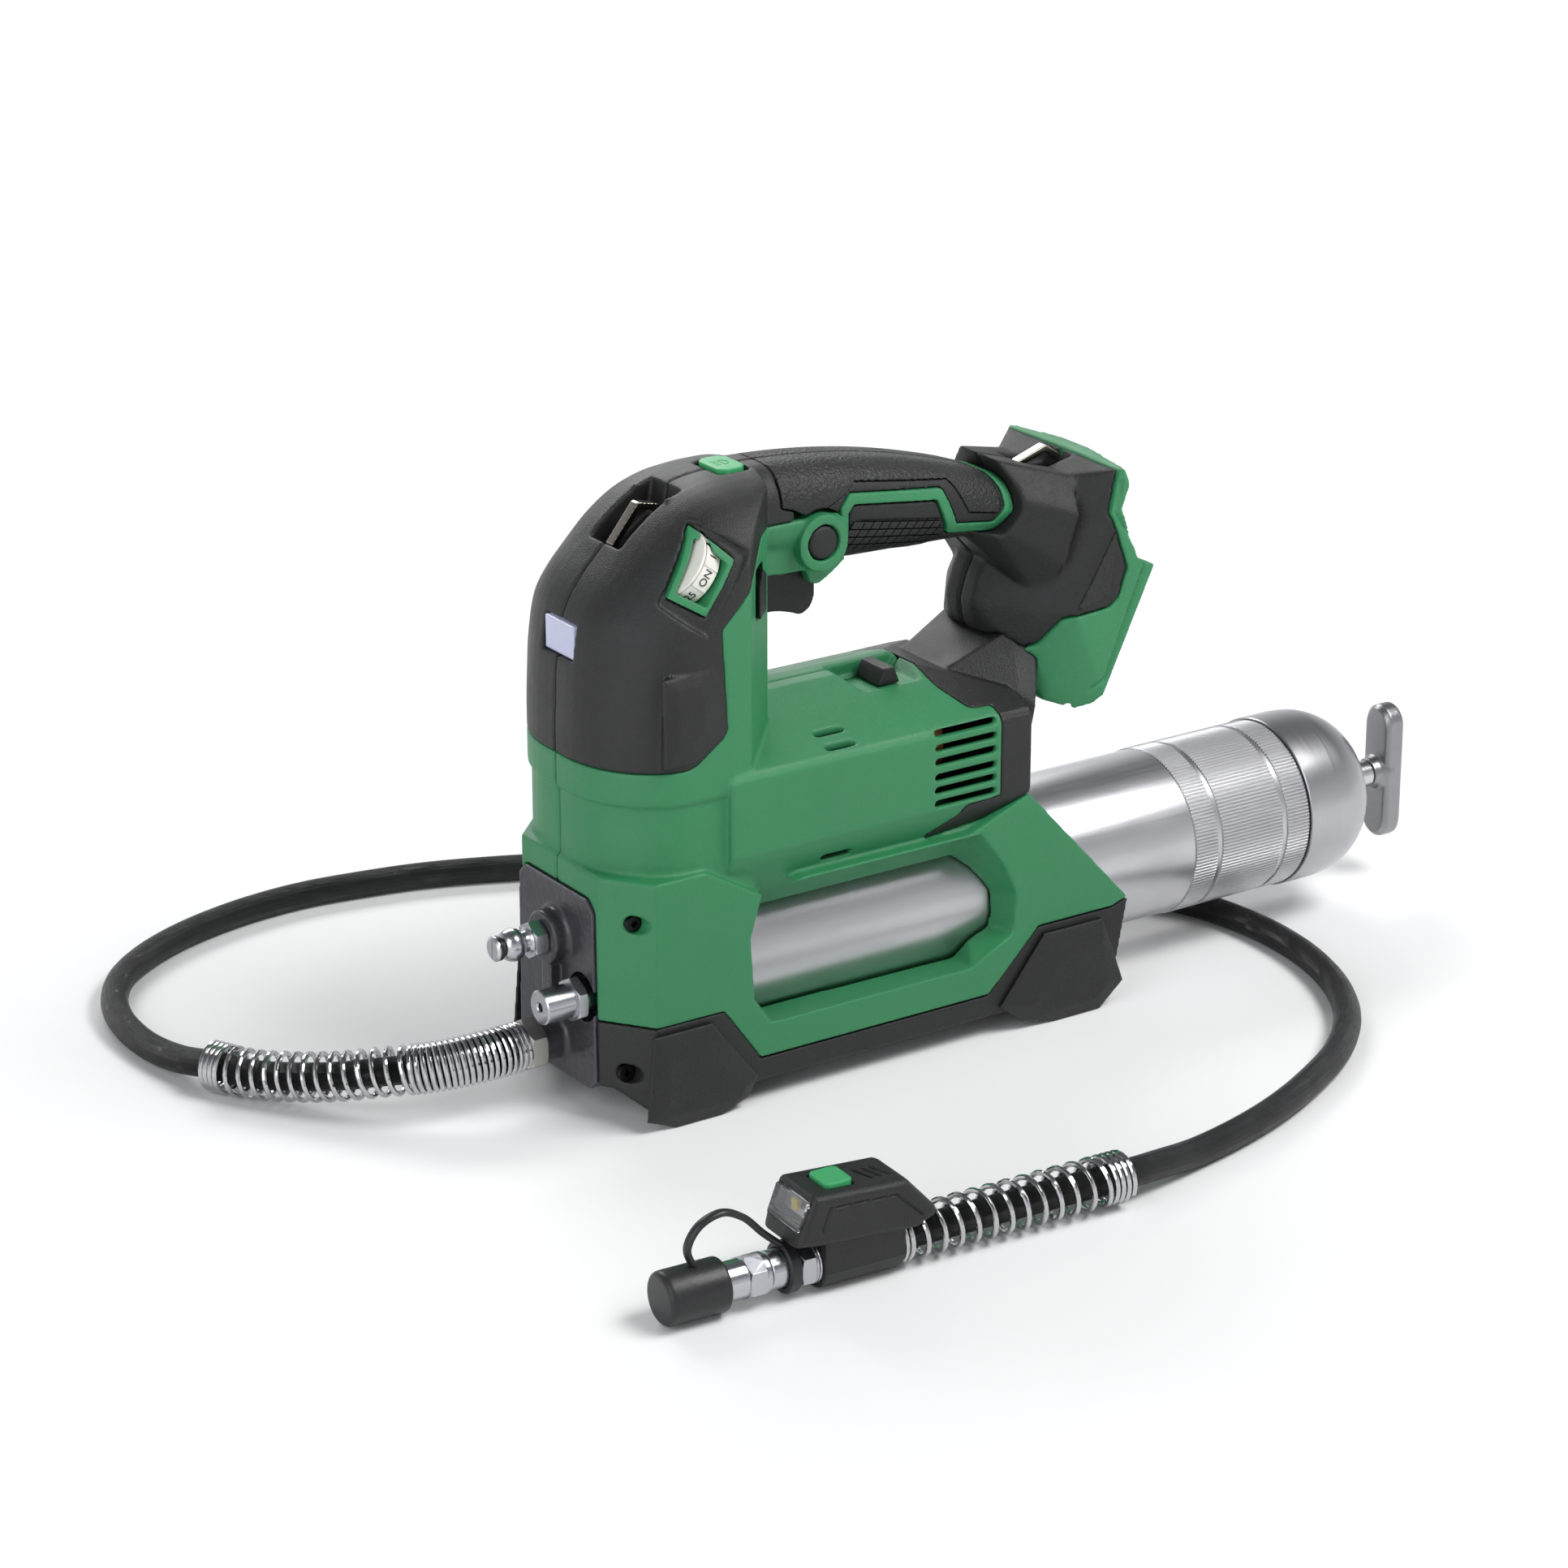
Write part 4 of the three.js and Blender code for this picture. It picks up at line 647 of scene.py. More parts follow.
CASE_SIDE = [(-262, -4.6), (-220, -4.6), (-206, -24), (-117, -24), (-97, -4.3), (-67, -4.3), (-60.5, -2),
             (-101.5, 43), (-125, 34), (-190, 34), (-203, 30), (-226, 43.5), (-262, 43.5)]
TRAY_SIDE = [(-262, -4.9), (-219.8, -4.9), (-205.8, -24.3), (-117.2, -24.3), (-97.2, -4.6), (-66.9, -4.6),
             (-60.3, -2.4), (-66, -31.8), (-205, -31.8), (-246, -33.5), (-253, -27), (-262, -27)]
PANEL_SECTION = [
    (-39.9, 45.5), (-38.6, 42), (-32, 29), (-26, 22), (26, 22), (32, 29), (38.6, 42),
    (39.9, 45.5), (39.9, 70), (38.4, 72.5), (20, 79.7), (5.5, 84.6), (-5.5, 84.6),
    (-20, 79.7), (-38.4, 72.5), (-39.9, 70),
]
HOOD_REGION = [(-290, 77.5), (-233, 77.5), (-229, 78.2), (-218.5, 85.5), (-217, 88), (-219, 120.5),
               (-205, 134), (-196.5, 143), (-178.5, 143), (-178.5, 146), (-183.4, 147.5), (-183, 156),
               (-182, 175), (-290, 175)]
TRIM_PATH = [(-161, 140.8), (-156.5, 146.2), (-122.3, 141.8), (-116.8, 129.2), (-99.5, 126.6),
             (-94.8, 132.5), (-94.6, 138.5), (-103, 160)]
TRIM_WIDTH = 3.4
BUTTON_X, BUTTON_Z = -168.6, 134.6
button_arc = [(BUTTON_X + 10.6 * math.cos(t), BUTTON_Z + 10.6 * math.sin(t))
              for t in (math.radians(120 - 15 * i) for i in range(6))]
GRIP_REGION = [(-181.7, 175), (-182.7, 156), (-183.1, 147.8), (-178.5, 146.4), *button_arc, *TRIM_PATH,
               (-103, 175)]
LOWER_GRIP_REGION = [(-157.3, 145.2), (-157.3, 100), (-60, 100), (-60, 175), (-103, 175),
                     *TRIM_PATH[1:][::-1]]
COVER_REGION = [(-126, 100), (-126, 79.2), (-121.5, 74.3), (-113.4, 74), (-113.4, 45), (-126.5, 44.4),
                (-129, 41), (-143, 34), (-101, 38.5), (-101, 100)]
SKIRT_REGION = [(-106, 83.5), (-98, 84.6), (-93, 85.6), (-88.8, 87.4), (-83.2, 96.1), (-80.5, 97.3),
                (-67, 98.7), (-64, 101.5), (-60.2, 111), (-66, 129.5), (-61.6, 141), (-57.9, 150), (0, 150),
                (0, 40), (-110, 40)]
RAIL_LOW = Vector((-69.7, 69.3))
RAIL_HIGH = Vector((-50, 110.4))
rail_unit = (RAIL_HIGH - RAIL_LOW).normalized()
rail_out = Vector((rail_unit.y, -rail_unit.x))
BORE_R = 29.3


def rail_point(along, out):
    return tuple(RAIL_LOW + along * rail_unit + out * rail_out)


def rail_region(start, end, inner, outer):
    return [rail_point(start, inner), rail_point(start, outer), rail_point(end, outer),
            rail_point(end, inner)]


def band(path, width):
    """A strip along a path in the side view, run right across the tool: separate overlapping solids."""
    made = []
    for (ax, az), (bx, bz) in zip(path, path[1:]):
        reach = width / 2 / math.hypot(bx - ax, bz - az)
        sx, sz = (bz - az) * reach, (ax - bx) * reach
        made.append(slab([(ax - sx, az - sz), (bx - sx, bz - sz), (bx + sx, bz + sz), (ax + sx, az + sz)],
                         *SPAN))
    made += [rod_y(*SPAN, width / 2, x, z, 24) for x, z in path[1:-1]]
    return made


def hull_of_widths(points):
    return hull([(x, side * half, z) for x, z, half in points for side in (-1, 1)])


def halves(name, solid, material, slot, voxel=0.6, rounds=6, keep=0.35, node=None):
    """The left and right halves of a moulded piece, each rounded and finished."""
    for suffix, low, high in (("left", -60, -0.12), ("right", 0.12, 60)):
        half = combine(solid, ("INTERSECT", block(-300, 100, low, high, -60, 200)))
        piece(f"{name}_{suffix}_shell", softened(half, voxel, rounds, keep), "tool", material, slot,
              [f"{node or name}_{suffix}"])


# ---------------------------------------------------------------- solids of the moulded body
column_prism = plate(COLUMN_PLAN, 0, 200)
hood_shape = combine(rounded_slab(HOOD_OUTLINE, HOOD_HALF, HOOD_FLAT, HOOD_ROUND),
                     ("INTERSECT", column_prism))
handle_shape = rounded_slab(HANDLE_OUTLINE, 17.5, 5, 13)
handle_base = rounded_slab(HANDLE_OUTLINE, 17.1, 5, 13, shrink=0.4)
hand_zone = block(-300, -100, *SPAN, 66.5, 200)
bore = rod(-222.6, 0, BORE_R, 96)
trigger_slot = slab([(-187.1, 104), (-187.1, 137), (-160, 137), (-163.5, 118), (-164.5, 104)], -10.6, 10.6)
lock_bore = rod_y(-30, 30, 5.9, BUTTON_X, BUTTON_Z)

BEZEL_OUTLINE = [(-220.4, 150.2), (-212.2, 141), (-223.4, 125.5), (-233.4, 131.7)]
BEZEL_CENTRE = (-222.4, 137.1)


def scaled(outline, factor, centre=BEZEL_CENTRE):
    cx, cz = centre
    return [(cx + (x - cx) * factor, cz + (z - cz) * factor) for x, z in outline]


DIAL_R = 12
DIAL_CENTRE = Vector((-222.4, -21.6, 137.1))
DIAL_AXIS = Vector((0.79, 0, -0.61)).normalized()
DIAL_PLACE = Matrix.Translation(DIAL_CENTRE) @ DIAL_AXIS.to_track_quat("X", "Y").to_matrix().to_4x4()


def dial_solid(radius, half_width, sides=64):
    made = rod(-half_width, half_width, radius, sides)
    made.transform(DIAL_PLACE)
    return made


ring_pocket = slab([(-238, 150), (-237, 141.6), (-231, 136), (-216, 146), (-213.5, 162)], -8.5, 8.5)
PAD_OUTER = [(-240.8, 108.9), (-222.4, 109.3), (-219.2, 103.4), (-219.2, 87.3), (-227.5, 79.2),
             (-240.4, 79.2)]
PAD_INNER = [(-236.4, 104.2), (-228, 104.6), (-226.6, 101), (-226.6, 91), (-230.8, 86.4), (-236.4, 86.8)]
hood_pads = [
    hull(level(PAD_OUTER, side * 37) + level(scaled(PAD_OUTER, 0.97, (-231, 95)), side * 38.4)
         + level(PAD_INNER, side * 39.9))
    for side in (-1, 1)
]
hood_inner = rounded_slab(HOOD_OUTLINE, HOOD_HALF - 1.5, HOOD_FLAT, HOOD_ROUND, shrink=1.2)
bezel_ledge = combine(
    hull(level(scaled(BEZEL_OUTLINE, 1.1), -20) + level(scaled(BEZEL_OUTLINE, 1.6), -40)),
    ("DIFFERENCE", hood_inner))
hood = combine(
    hood_shape,
    ("UNION", handle_shape),
    ("INTERSECT", slab(HOOD_REGION, *WIDE)),
    ("UNION", *hood_pads),
    ("DIFFERENCE", trigger_slot, lock_bore, ring_pocket,
     block(-270, -249, -8.8, 8.8, 108.8, 120.4), block(-199.8, -188.7, -7.8, 7.8, 156.6, 170),
     slab(scaled(BEZEL_OUTLINE, 1.04), -60, -20), dial_solid(DIAL_R + 0.3, 3.9), bezel_ledge),
)
halves("hood", hood, *BLACK)

# Green shells: column, trigger housing, front block, motor panel and lower casing.
column = combine(hood_shape, ("INTERSECT", hand_zone), ("DIFFERENCE", slab(HOOD_REGION, *WIDE)))
trigger_housing = slab(
    [(-196, 146), (-196, 126), (-172.4, 125), (-171, 120.8), (-168, 119.6), (-162.5, 122.6), (-157.6, 126.2),
     (-157.6, 138)], -15, 15)
handle_green = combine(
    handle_shape,
    ("INTERSECT", slab([(-222, 126), (-222, 142.8), (-157.6, 142.8), (-157.6, 118)], *SPAN)),
    ("DIFFERENCE", slab(HOOD_REGION, *WIDE), slab(GRIP_REGION, *WIDE)))
front_block = combine(
    rounded_slab(HOOD_OUTLINE, HOOD_HALF - 0.8, HOOD_FLAT, HOOD_ROUND, shrink=1.2),
    ("INTERSECT", block(-300, -205, *SPAN, 30, 66.9)))
panel_body = combine(
    bar(PANEL_SECTION, -217, -101.5),
    ("INTERSECT", slab([(-217, 20), (-217, 70), (-203, 85), (-130, 85), (-124, 83), (-101.5, 76),
                        (-101.5, 20)], *SPAN)))
WINDOW_INNER = [(-196, 34), (-202, 14), (-200.5, -5), (-196, -14), (-121, -15), (-112.7, -4.7), (-112, 6),
                (-117, 15), (-131, 31)]
WINDOW_OUTER = [(-203, 40), (-210, 17.5), (-208.5, -4), (-202, -12.8), (-124, -12.8), (-107, -4.5),
                (-106, 9), (-111, 20), (-126, 40)]
window_cutters = [
    combine(loft((level(WINDOW_INNER, side * 20), level(WINDOW_OUTER, side * (CASE_HALF + 0.1)))),
            ("INTERSECT", block(-230, -90, *SPAN, -20, 33)))
    for side in (-1, 1)
]
case_body = combine(plate(CASE_PLAN, -40, 60), ("INTERSECT", slab(CASE_SIDE, *SPAN)))
casing = combine(case_body, ("DIFFERENCE", *window_cutters))
SELECTOR_Y = -7
panel_inside = combine(
    bar(inset_outline(PANEL_SECTION, 2.8), -181, -104.3),
    ("INTERSECT", block(-300, 0, *SPAN, 32.5, 79)),
    ("DIFFERENCE", block(-162, -120, SELECTOR_Y - 12, SELECTOR_Y + 12, 74, 87)))
vents = [block(-139.5, -115.2, *SPAN, z, z + 2.3) for z in (46.1, 50.6, 55, 60.2, 65, 69.8)]
small_vents = [block(-179, -168, y - 1.3, y + 1.3, 68, 86) for y in (-28.9, -35.4, 28.9, 35.4)]
small_vents.append(block(-181, -169, *SPAN, 36.2, 38))
selector_recess = slab([(-158, 88), (-150, 79.8), (-130, 79.8), (-121, 88)], SELECTOR_Y - 9, SELECTOR_Y + 9)
LOCK_SLOT = block(-202.3, -194.7, -45, 45, 119.1, 134.8)
HEAD_OUTLINE = [(-18.8, -30.1), (-22.9, -26.3), (-22.2, 31.1), (-18.6, 34.7), (18.6, 34.7), (22.2, 31.1),
                (22.9, -26.3), (18.8, -30.1)]
plate_pocket = bar(HEAD_OUTLINE, -300, -251.2)
block_pocket = block(-251.7, -218, -20.4, 20.4, -29.2, 34.8)
case_screw_holes = [rod_y(low, high, 2.9, -248.6, 29.2, 32) for low, high in ((-50, -30.5), (25, 50))]
# The rooms inside: the crank's, then the gears', the motor's and the fan's, and the plunger's bore below.
MOTOR_Z = 58
PLUNGER_X = -230
drive_rooms = [
    block(-246, -205, -26, 26, 38, 84.5),
    *[rod(x0, x1, radius, 64, 0, MOTOR_Z)
      for x0, x1, radius in ((-206, -180, 23.6), (-184, -116, 20.8), (-116.5, -106, 22.2))],
    rod_z(30, 45, 5.2, PLUNGER_X, 0),
]
housing = combine(
    panel_body,
    ("DIFFERENCE", slab(COVER_REGION, *WIDE)),
    ("UNION", column, trigger_housing, handle_green, rod_y(-19.6, 19.6, 9.3, BUTTON_X, BUTTON_Z, 64),
     front_block, casing),
    ("DIFFERENCE", bore, panel_inside, *vents, *small_vents, selector_recess, trigger_slot,
     lock_bore, LOCK_SLOT, plate_pocket, block_pocket, *case_screw_holes),
    ("DIFFERENCE", *drive_rooms),
)
halves("housing", housing, *GREEN, voxel=0.65, keep=0.3)


# ---------------------------------------------------------------- grips and trims
def joined(solids):
    return combine(solids[0], ("UNION", *solids[1:]))


trim_band = joined(band(TRIM_PATH, TRIM_WIDTH))
trim_clearance = band(TRIM_PATH, TRIM_WIDTH + 2 * GAP)
grip_region = slab(GRIP_REGION, *WIDE)
lower_grip_region = slab(LOWER_GRIP_REGION, *WIDE)
INSERT_EDGE = [(-183.3, 143.9), (-173.5, 141.6), (-167.4, 144.2), (-163.1, 146.1), (-158.8, 148),
               (-154.5, 151), (-117.5, 145.1), (-115.5, 142.7), (-110.9, 133.7), (-99.3, 131.4),
               (-97.6, 133.4), (-97.9, 138.4), (-105.2, 158), (-105.2, 175), (-184.5, 175), (-185.7, 150.9)]
insert_clearance = slab(INSERT_EDGE, *WIDE)
upper_grip = combine(handle_base, ("INTERSECT", grip_region), ("DIFFERENCE", *trim_clearance, lock_bore))
insert_layer = combine(handle_shape, ("DIFFERENCE", rounded_slab(HANDLE_OUTLINE, 15.6, 5, 13, shrink=1.9)))
insert_outline = [(x + (0.25 if x < -140 else -0.25), z + 0.3) for x, z in INSERT_EDGE]
grip_insert = combine(handle_shape, ("INTERSECT", slab(insert_outline, *WIDE), grip_region),
                      ("INTERSECT", insert_layer))
insert_seat = combine(insert_layer, ("INTERSECT", insert_clearance))
upper_grip = combine(upper_grip, ("DIFFERENCE", insert_seat))
halves("grip", upper_grip, *GRIP, voxel=0.5, rounds=3)
halves("grip_insert", grip_insert, *TEXTURED, voxel=0.45, rounds=3, node="grip")
trim = combine(handle_shape, ("INTERSECT", trim_band),
               ("DIFFERENCE", slab([(-240, 100), (-240, 175), (-161.6, 175), (-160.6, 141.2), (-157.3, 138),
                                    (-157.3, 100)], *WIDE)))
halves("grip_trim", trim, *GREEN, voxel=0.4, rounds=2)


# ---------------------------------------------------------------- lower grip, battery mount and skirt
BEHIND_MOUNT = [rail_point(-60, 0), tuple(RAIL_HIGH), (-56.3, 113.5), (-61.8, 130.5), (-57.6, 139),
                (-55.2, 146), (0, 146), (0, 0)]
mount_solid = combine(hull_of_widths(MOUNT_POINTS), ("DIFFERENCE", slab(BEHIND_MOUNT, *WIDE)))
neck_solid = hull_of_widths(NECK_POINTS)
battery_bay = slab(rail_region(-20, 46, -9, 30), -31, 31)
rear_pocket = slab([(-83, 146), (-82, 136.6), (-64, 136.6), (-60.5, 146)], -7, 7)
PAD_OUTLINE = [(-158.3, 135.2), (-155.2, 138.9), (-122.2, 133.6), (-120.3, 130), (-121.2, 125.8),
               (-125.9, 123.1), (-157, 128.8), (-158.6, 131.5)]
PAD_CENTRE = (-139.4, 131)
pad_layer = combine(rounded_slab(HANDLE_OUTLINE, 17.3, 5, 13, shrink=0.15),
                    ("DIFFERENCE", rounded_slab(HANDLE_OUTLINE, 16.3, 5, 13, shrink=1.2)))
pad_pocket = combine(pad_layer, ("INTERSECT", slab(scaled(PAD_OUTLINE, 1.02, PAD_CENTRE), *WIDE)))
lower_grip = combine(
    handle_base,
    ("INTERSECT", lower_grip_region),
    ("DIFFERENCE", *trim_clearance, pad_pocket),
)
# The grip flares into the mount.
flare = hull_of_widths([(-107, 123.5, 8), (-105, 131, 16.5), (-104, 140, 15.5), (-101, 148.5, 8),
                        (-86, 101, 22), (-81, 114, 29.5), (-75, 130, 29), (-72, 140, 20)])
mount_black = combine(
    mount_solid,
    ("UNION", flare),
    ("DIFFERENCE", grip_region, slab(SKIRT_REGION, *WIDE), slab(BEHIND_MOUNT, *WIDE)),
    ("UNION", lower_grip),
    ("DIFFERENCE", *trim_clearance, battery_bay, rear_pocket, neck_solid),
)
halves("battery_mount", mount_black, grip_rubber, "black_housing", voxel=0.65, rounds=22)

SLANT = Vector((2.35, 3.4)).normalized()
LEAN = Vector((33, -5.5)).normalized()


def groove_across(x, z, reach, wide):
    """A thin cutter across the tool, from a corner along `reach` and `wide` thick."""
    (rx, rz), (wx, wz) = reach, wide
    return slab([(x, z), (x + wx, z + wz), (x + wx + rx, z + wz + rz), (x + rx, z + rz)], *WIDE)


# Thirteen slanting grooves cross four long ones, which leaves rows of small raised bars.
hatch = [groove_across(-163.5 + 3.75 * i, 121, 20 * SLANT, (0.55, 0)) for i in range(13)]
hatch += [groove_across(-162, 131.6 + 2.65 * i, 48 * LEAN, (0, 0.5)) for i in range(4)]
hatch_pad = combine(pad_layer, ("INTERSECT", slab(PAD_OUTLINE, *WIDE)), ("DIFFERENCE", *hatch))
for suffix, low, high in (("left", -60, -8), ("right", 8, 60)):
    pad = combine(hatch_pad, ("INTERSECT", block(-300, 100, low, high, -60, 200)))
    piece(f"hatch_pad_{suffix}", pad, "tool", *GRIP, [f"battery_mount_{suffix}"], sharp=20)


def mount_skin(above, below):
    """The layer of the battery mount's flanks between two distances from its surface."""
    outer, inner = (hull_of_widths([(x, z, half + grow) for x, z, half in MOUNT_POINTS])
                    for grow in (above, -below))
    return combine(outer, ("DIFFERENCE", inner))


# A textured pad stands a little proud of each flank of the mount.
FLANK_OUTLINE = [(-64.5, 124.2), (-79.2, 99.8), (-73.4, 100.7), (-67.4, 103)]
skin = mount_skin(0.5, 1.2)
for suffix, low, high in (("left", -60, -18), ("right", 18, 60)):
    pad = combine(skin, ("INTERSECT", slab(FLANK_OUTLINE, low, high)))
    piece(f"flank_pad_{suffix}", softened(pad, 0.35, 3), "tool", *TEXTURED, [f"battery_mount_{suffix}"])

skirt_solid = combine(
    mount_solid,
    ("INTERSECT", slab([(x + GAP, z - GAP) for x, z in SKIRT_REGION], *WIDE)),
    ("DIFFERENCE", battery_bay, rear_pocket, neck_solid),
)
SEAM_PATH = [(-60.8, 139.6), (-64.3, 129.5), (-53.4, 111.6), (-68.6, 75.2), (-74.5, 71.2)]
seam = combine(mount_skin(1, 1.1), ("INTERSECT", joined(band(SEAM_PATH, 1.2))))
skirt_solid = combine(skirt_solid, ("DIFFERENCE", seam, rod_y(*SPAN, 0.7, -67.4, 83.7, 20)))
piece("battery_skirt_shell", softened(skirt_solid, 0.55, 4, 0.35), "tool", *GREEN, ["battery_skirt"])


# ---------------------------------------------------------------- rear cover, tray and feet
cover_outside = combine(
    panel_body, ("UNION", neck_solid),
    ("INTERSECT", joined([slab(COVER_REGION, *WIDE), block(-101.6, -60, *SPAN, 38, 120)])))
cover = combine(
    cover_outside,
    ("DIFFERENCE", panel_inside, bore,
     combine(case_body, ("UNION", *copies(case_body, (GAP, 0, GAP), (0, 0, GAP))))))
piece("rear_cover_shell", softened(cover, 0.55, 4), "tool", *BLACK, ["rear_cover"])

tray_screw_holes = [rod_y(low, high, 3.1, -250.5, -21.3, 32) for low, high in ((-50, -28.5), (23, 50))]
tray = combine(
    plate(CASE_PLAN, -40, 60),
    ("INTERSECT", slab(TRAY_SIDE, *SPAN)),
    ("DIFFERENCE", bore, *tray_screw_holes,
     combine(plate_pocket, ("DIFFERENCE", block(-300, 0, *SPAN, -60, -30.4))), block_pocket),
)
piece("base_tray_shell", softened(tray, 0.6, 4), "tool", *BLACK, ["base_tray"])

FOOT_FACE = CASE_HALF + GAP
FOOT_OUTER = 42.4
FRONT_FOOT = [(-247, -7), (-225, -7), (-208, -29), (-212, -35.5), (-222, -39.2), (-239, -39.2),
              (-249.5, -35)]
FRONT_FOOT_FACE = [(-241.5, -16.5), (-227.5, -16.5), (-213.5, -31), (-216, -34.5), (-239, -34.5),
                   (-243, -31)]
REAR_FOOT = [(-95.5, -7), (-71.5, -7), (-62.5, -31), (-71, -32.8), (-72.2, -39.2), (-91, -39.2),
             (-104, -36), (-113, -29)]
REAR_FOOT_FACE = [(-87.5, -16), (-72, -16), (-70, -30), (-74, -34.5), (-90, -34.5), (-100, -30)]


def foot(outline, face, pad, side):
    flank = hull(level(outline, side * FOOT_FACE) + level(outline, side * (FOOT_FACE + 1.2))
                 + level(face, side * FOOT_OUTER))
    low, high = sorted((side * 24, side * (FOOT_FACE + 1.2)))
    under = slab([(pad[0], FLOOR), (pad[0] - 2, -33.8), (pad[1] + 4, -33.8), (pad[1], FLOOR)], low, high)
    made = combine(flank, ("UNION", under))
    return combine(softened(made, 0.5, 5, 0.4), ("INTERSECT", block(-300, 100, *SPAN, FLOOR, 60)))


for side, suffix in ((-1, "left"), (1, "right")):
    for name, outline, face, pad in (("front", FRONT_FOOT, FRONT_FOOT_FACE, (-239, -222)),
                                     ("rear", REAR_FOOT, REAR_FOOT_FACE, (-91, -72.2))):
        node = f"foot_{name}_{suffix}"
        piece(f"{node}_rubber", foot(outline, face, pad, side), "tool", foot_rubber, "black_rubber", [node])


# ---------------------------------------------------------------- screws seen in their holes
def screw(name, x, y, z, radius, side):
    """A round head across the tool with a six-lobed recess."""
    low, high = sorted((y, y + side * 2.4))
    lobes = []
    for t in full_turn(48):
        reach = radius * (0.42 + 0.08 * math.cos(6 * t))
        lobes.append((x + reach * math.cos(t), z + reach * math.sin(t)))
    outer = y + side * 2.4
    recess_low, recess_high = sorted((outer - side * 1.5, outer + side))
    head = combine(rod_y(low, high, radius, x, z, 40), ("DIFFERENCE", slab(lobes, recess_low, recess_high)))
    piece(name, head, "tool", screw_black, "zinc_plated", sharp=30)


screw("case_screw_left", -248.6, -30.4, 29.2, 2.6, -1)
screw("case_screw_right", -248.6, 25, 29.2, 2.6, 1)
screw("tray_screw_left", -250.5, -28.4, -21.3, 2.8, -1)
screw("tray_screw_right", -250.5, 23, -21.3, 2.8, 1)


# ---------------------------------------------------------------- controls
TRIGGER_SIDE = smooth_outline([(-165.8, 118), (-165.9, 114.5), (-167.2, 111.3), (-170.7, 109),
                               (-174.7, 110.2), (-179.7, 111.5), (-184.5, 111.9)], 1.0)
trigger = slab([(-186.6, 112), (-186.6, 118), (-184.6, 126.8), (-172.5, 126.8), (-166.6, 121.5),
                *TRIGGER_SIDE], -10, 10)
piece("trigger_pad", softened(trigger, 0.45, 6, 0.4), "trigger", grip_rubber, "black_housing", ["trigger"])
LOCK_BAR = [(-202, 119.4), (-195, 119.4), (-195, 131.5), (-198, 134.5), (-202, 130)]
bar_trim = plate([(x + 1.2, y * 1.035) for x, y in COLUMN_PLAN], 0, 200)
lock_bar = combine(slab(LOCK_BAR, -45, 45), ("INTERSECT", bar_trim))
piece("trigger_lock_bar_pad", softened(lock_bar, 0.45, 4), "lock_bar", *BLACK, ["trigger_lock_bar"])
button = lathe([(-19.5, 0), (-19.5, 4.2), (-19.3, 4.8), (-18.8, 5.3), (-18, 5.5), (18, 5.5), (18.8, 5.3),
                (19.3, 4.8), (19.5, 4.2), (19.5, 0)], 64)
button.transform(Matrix.Translation((BUTTON_X, 0, BUTTON_Z)) @ Matrix.Rotation(math.radians(90), 4, "Z"))
piece("lock_off_pad", button, "lock_off", *BLACK, ["lock_off_button"], sharp=60)

bezel = combine(slab(scaled(BEZEL_OUTLINE, 1.02), -36, -21),
                ("INTERSECT", rounded_slab(HOOD_OUTLINE, HOOD_HALF - 0.9, HOOD_FLAT, HOOD_ROUND,
                                           shrink=0.7)),
                ("DIFFERENCE", slab(scaled(BEZEL_OUTLINE, 0.78), -40, -20), dial_solid(DIAL_R + 0.3, 3.9)))
piece("dial_bezel_ring", softened(bezel, 0.3, 3, 0.4), "tool", *GREEN, ["dial_bezel"])

# The dial is a thumbwheel: low bars across its rim part the numbers.
DIAL_STEP = math.radians(36)
dial_out = Vector((0, -1, 0))
dial_along = DIAL_AXIS.cross(dial_out) * -1


def on_dial(turn, height, across):
    out = dial_out * math.cos(turn) + dial_along * math.sin(turn)
    return DIAL_CENTRE + out * (DIAL_R + height) + DIAL_AXIS * across


def dial_bar(turn):
    ends = []
    for across in (-2.2, 3.4):
        ends += [on_dial(turn - 0.05, -0.6, across), on_dial(turn - 0.03, 0.15, across),
                 on_dial(turn + 0.03, 0.15, across), on_dial(turn + 0.05, -0.6, across)]
    return hull(ends)


wheel = rod(-3.6, 3.6, DIAL_R - 0.2, 96)
wheel.transform(DIAL_PLACE)
groove = lathe([(-2.6, DIAL_R - 0.8), (-2.6, DIAL_R + 1), (-2.2, DIAL_R + 1), (-2.2, DIAL_R - 0.8)], 96,
               closed=True)
groove.transform(DIAL_PLACE)
dial_steps = [DIAL_STEP * (i + 0.5) for i in range(-5, 5)]
wheel = combine(wheel, ("DIFFERENCE", groove), ("UNION", *[dial_bar(turn) for turn in dial_steps]))
piece("dial_wheel", wheel, "dial", white_plastic, "white_dial", ["volume_dial"], sharp=25)


def lettering(text, size, depth=0.2):
    """A word as a flat mesh in X and Y, thick along Z."""
    curve = bpy.data.curves.new("word", "FONT")
    curve.body = text
    curve.size = size
    curve.extrude = depth
    curve.align_x = "CENTER"
    curve.align_y = "CENTER"
    word = holder(curve)
    mesh = evaluated_mesh(word)
    bpy.data.objects.remove(word)
    return mesh


for count, text in enumerate(("25", "ON", "1", "2", "3", "5", "8", "12", "18")):
    turn = DIAL_STEP * (count - 1)
    word = lettering(text, 3.7, 0.12)
    for vertex in word.vertices:
        across, up, height = vertex.co
        vertex.co = on_dial(turn + across / DIAL_R, height - 0.17, 0.7 - up)
    piece(f"dial_mark_{count + 1}", word, "dial", ink, "white_dial", sharp=30)


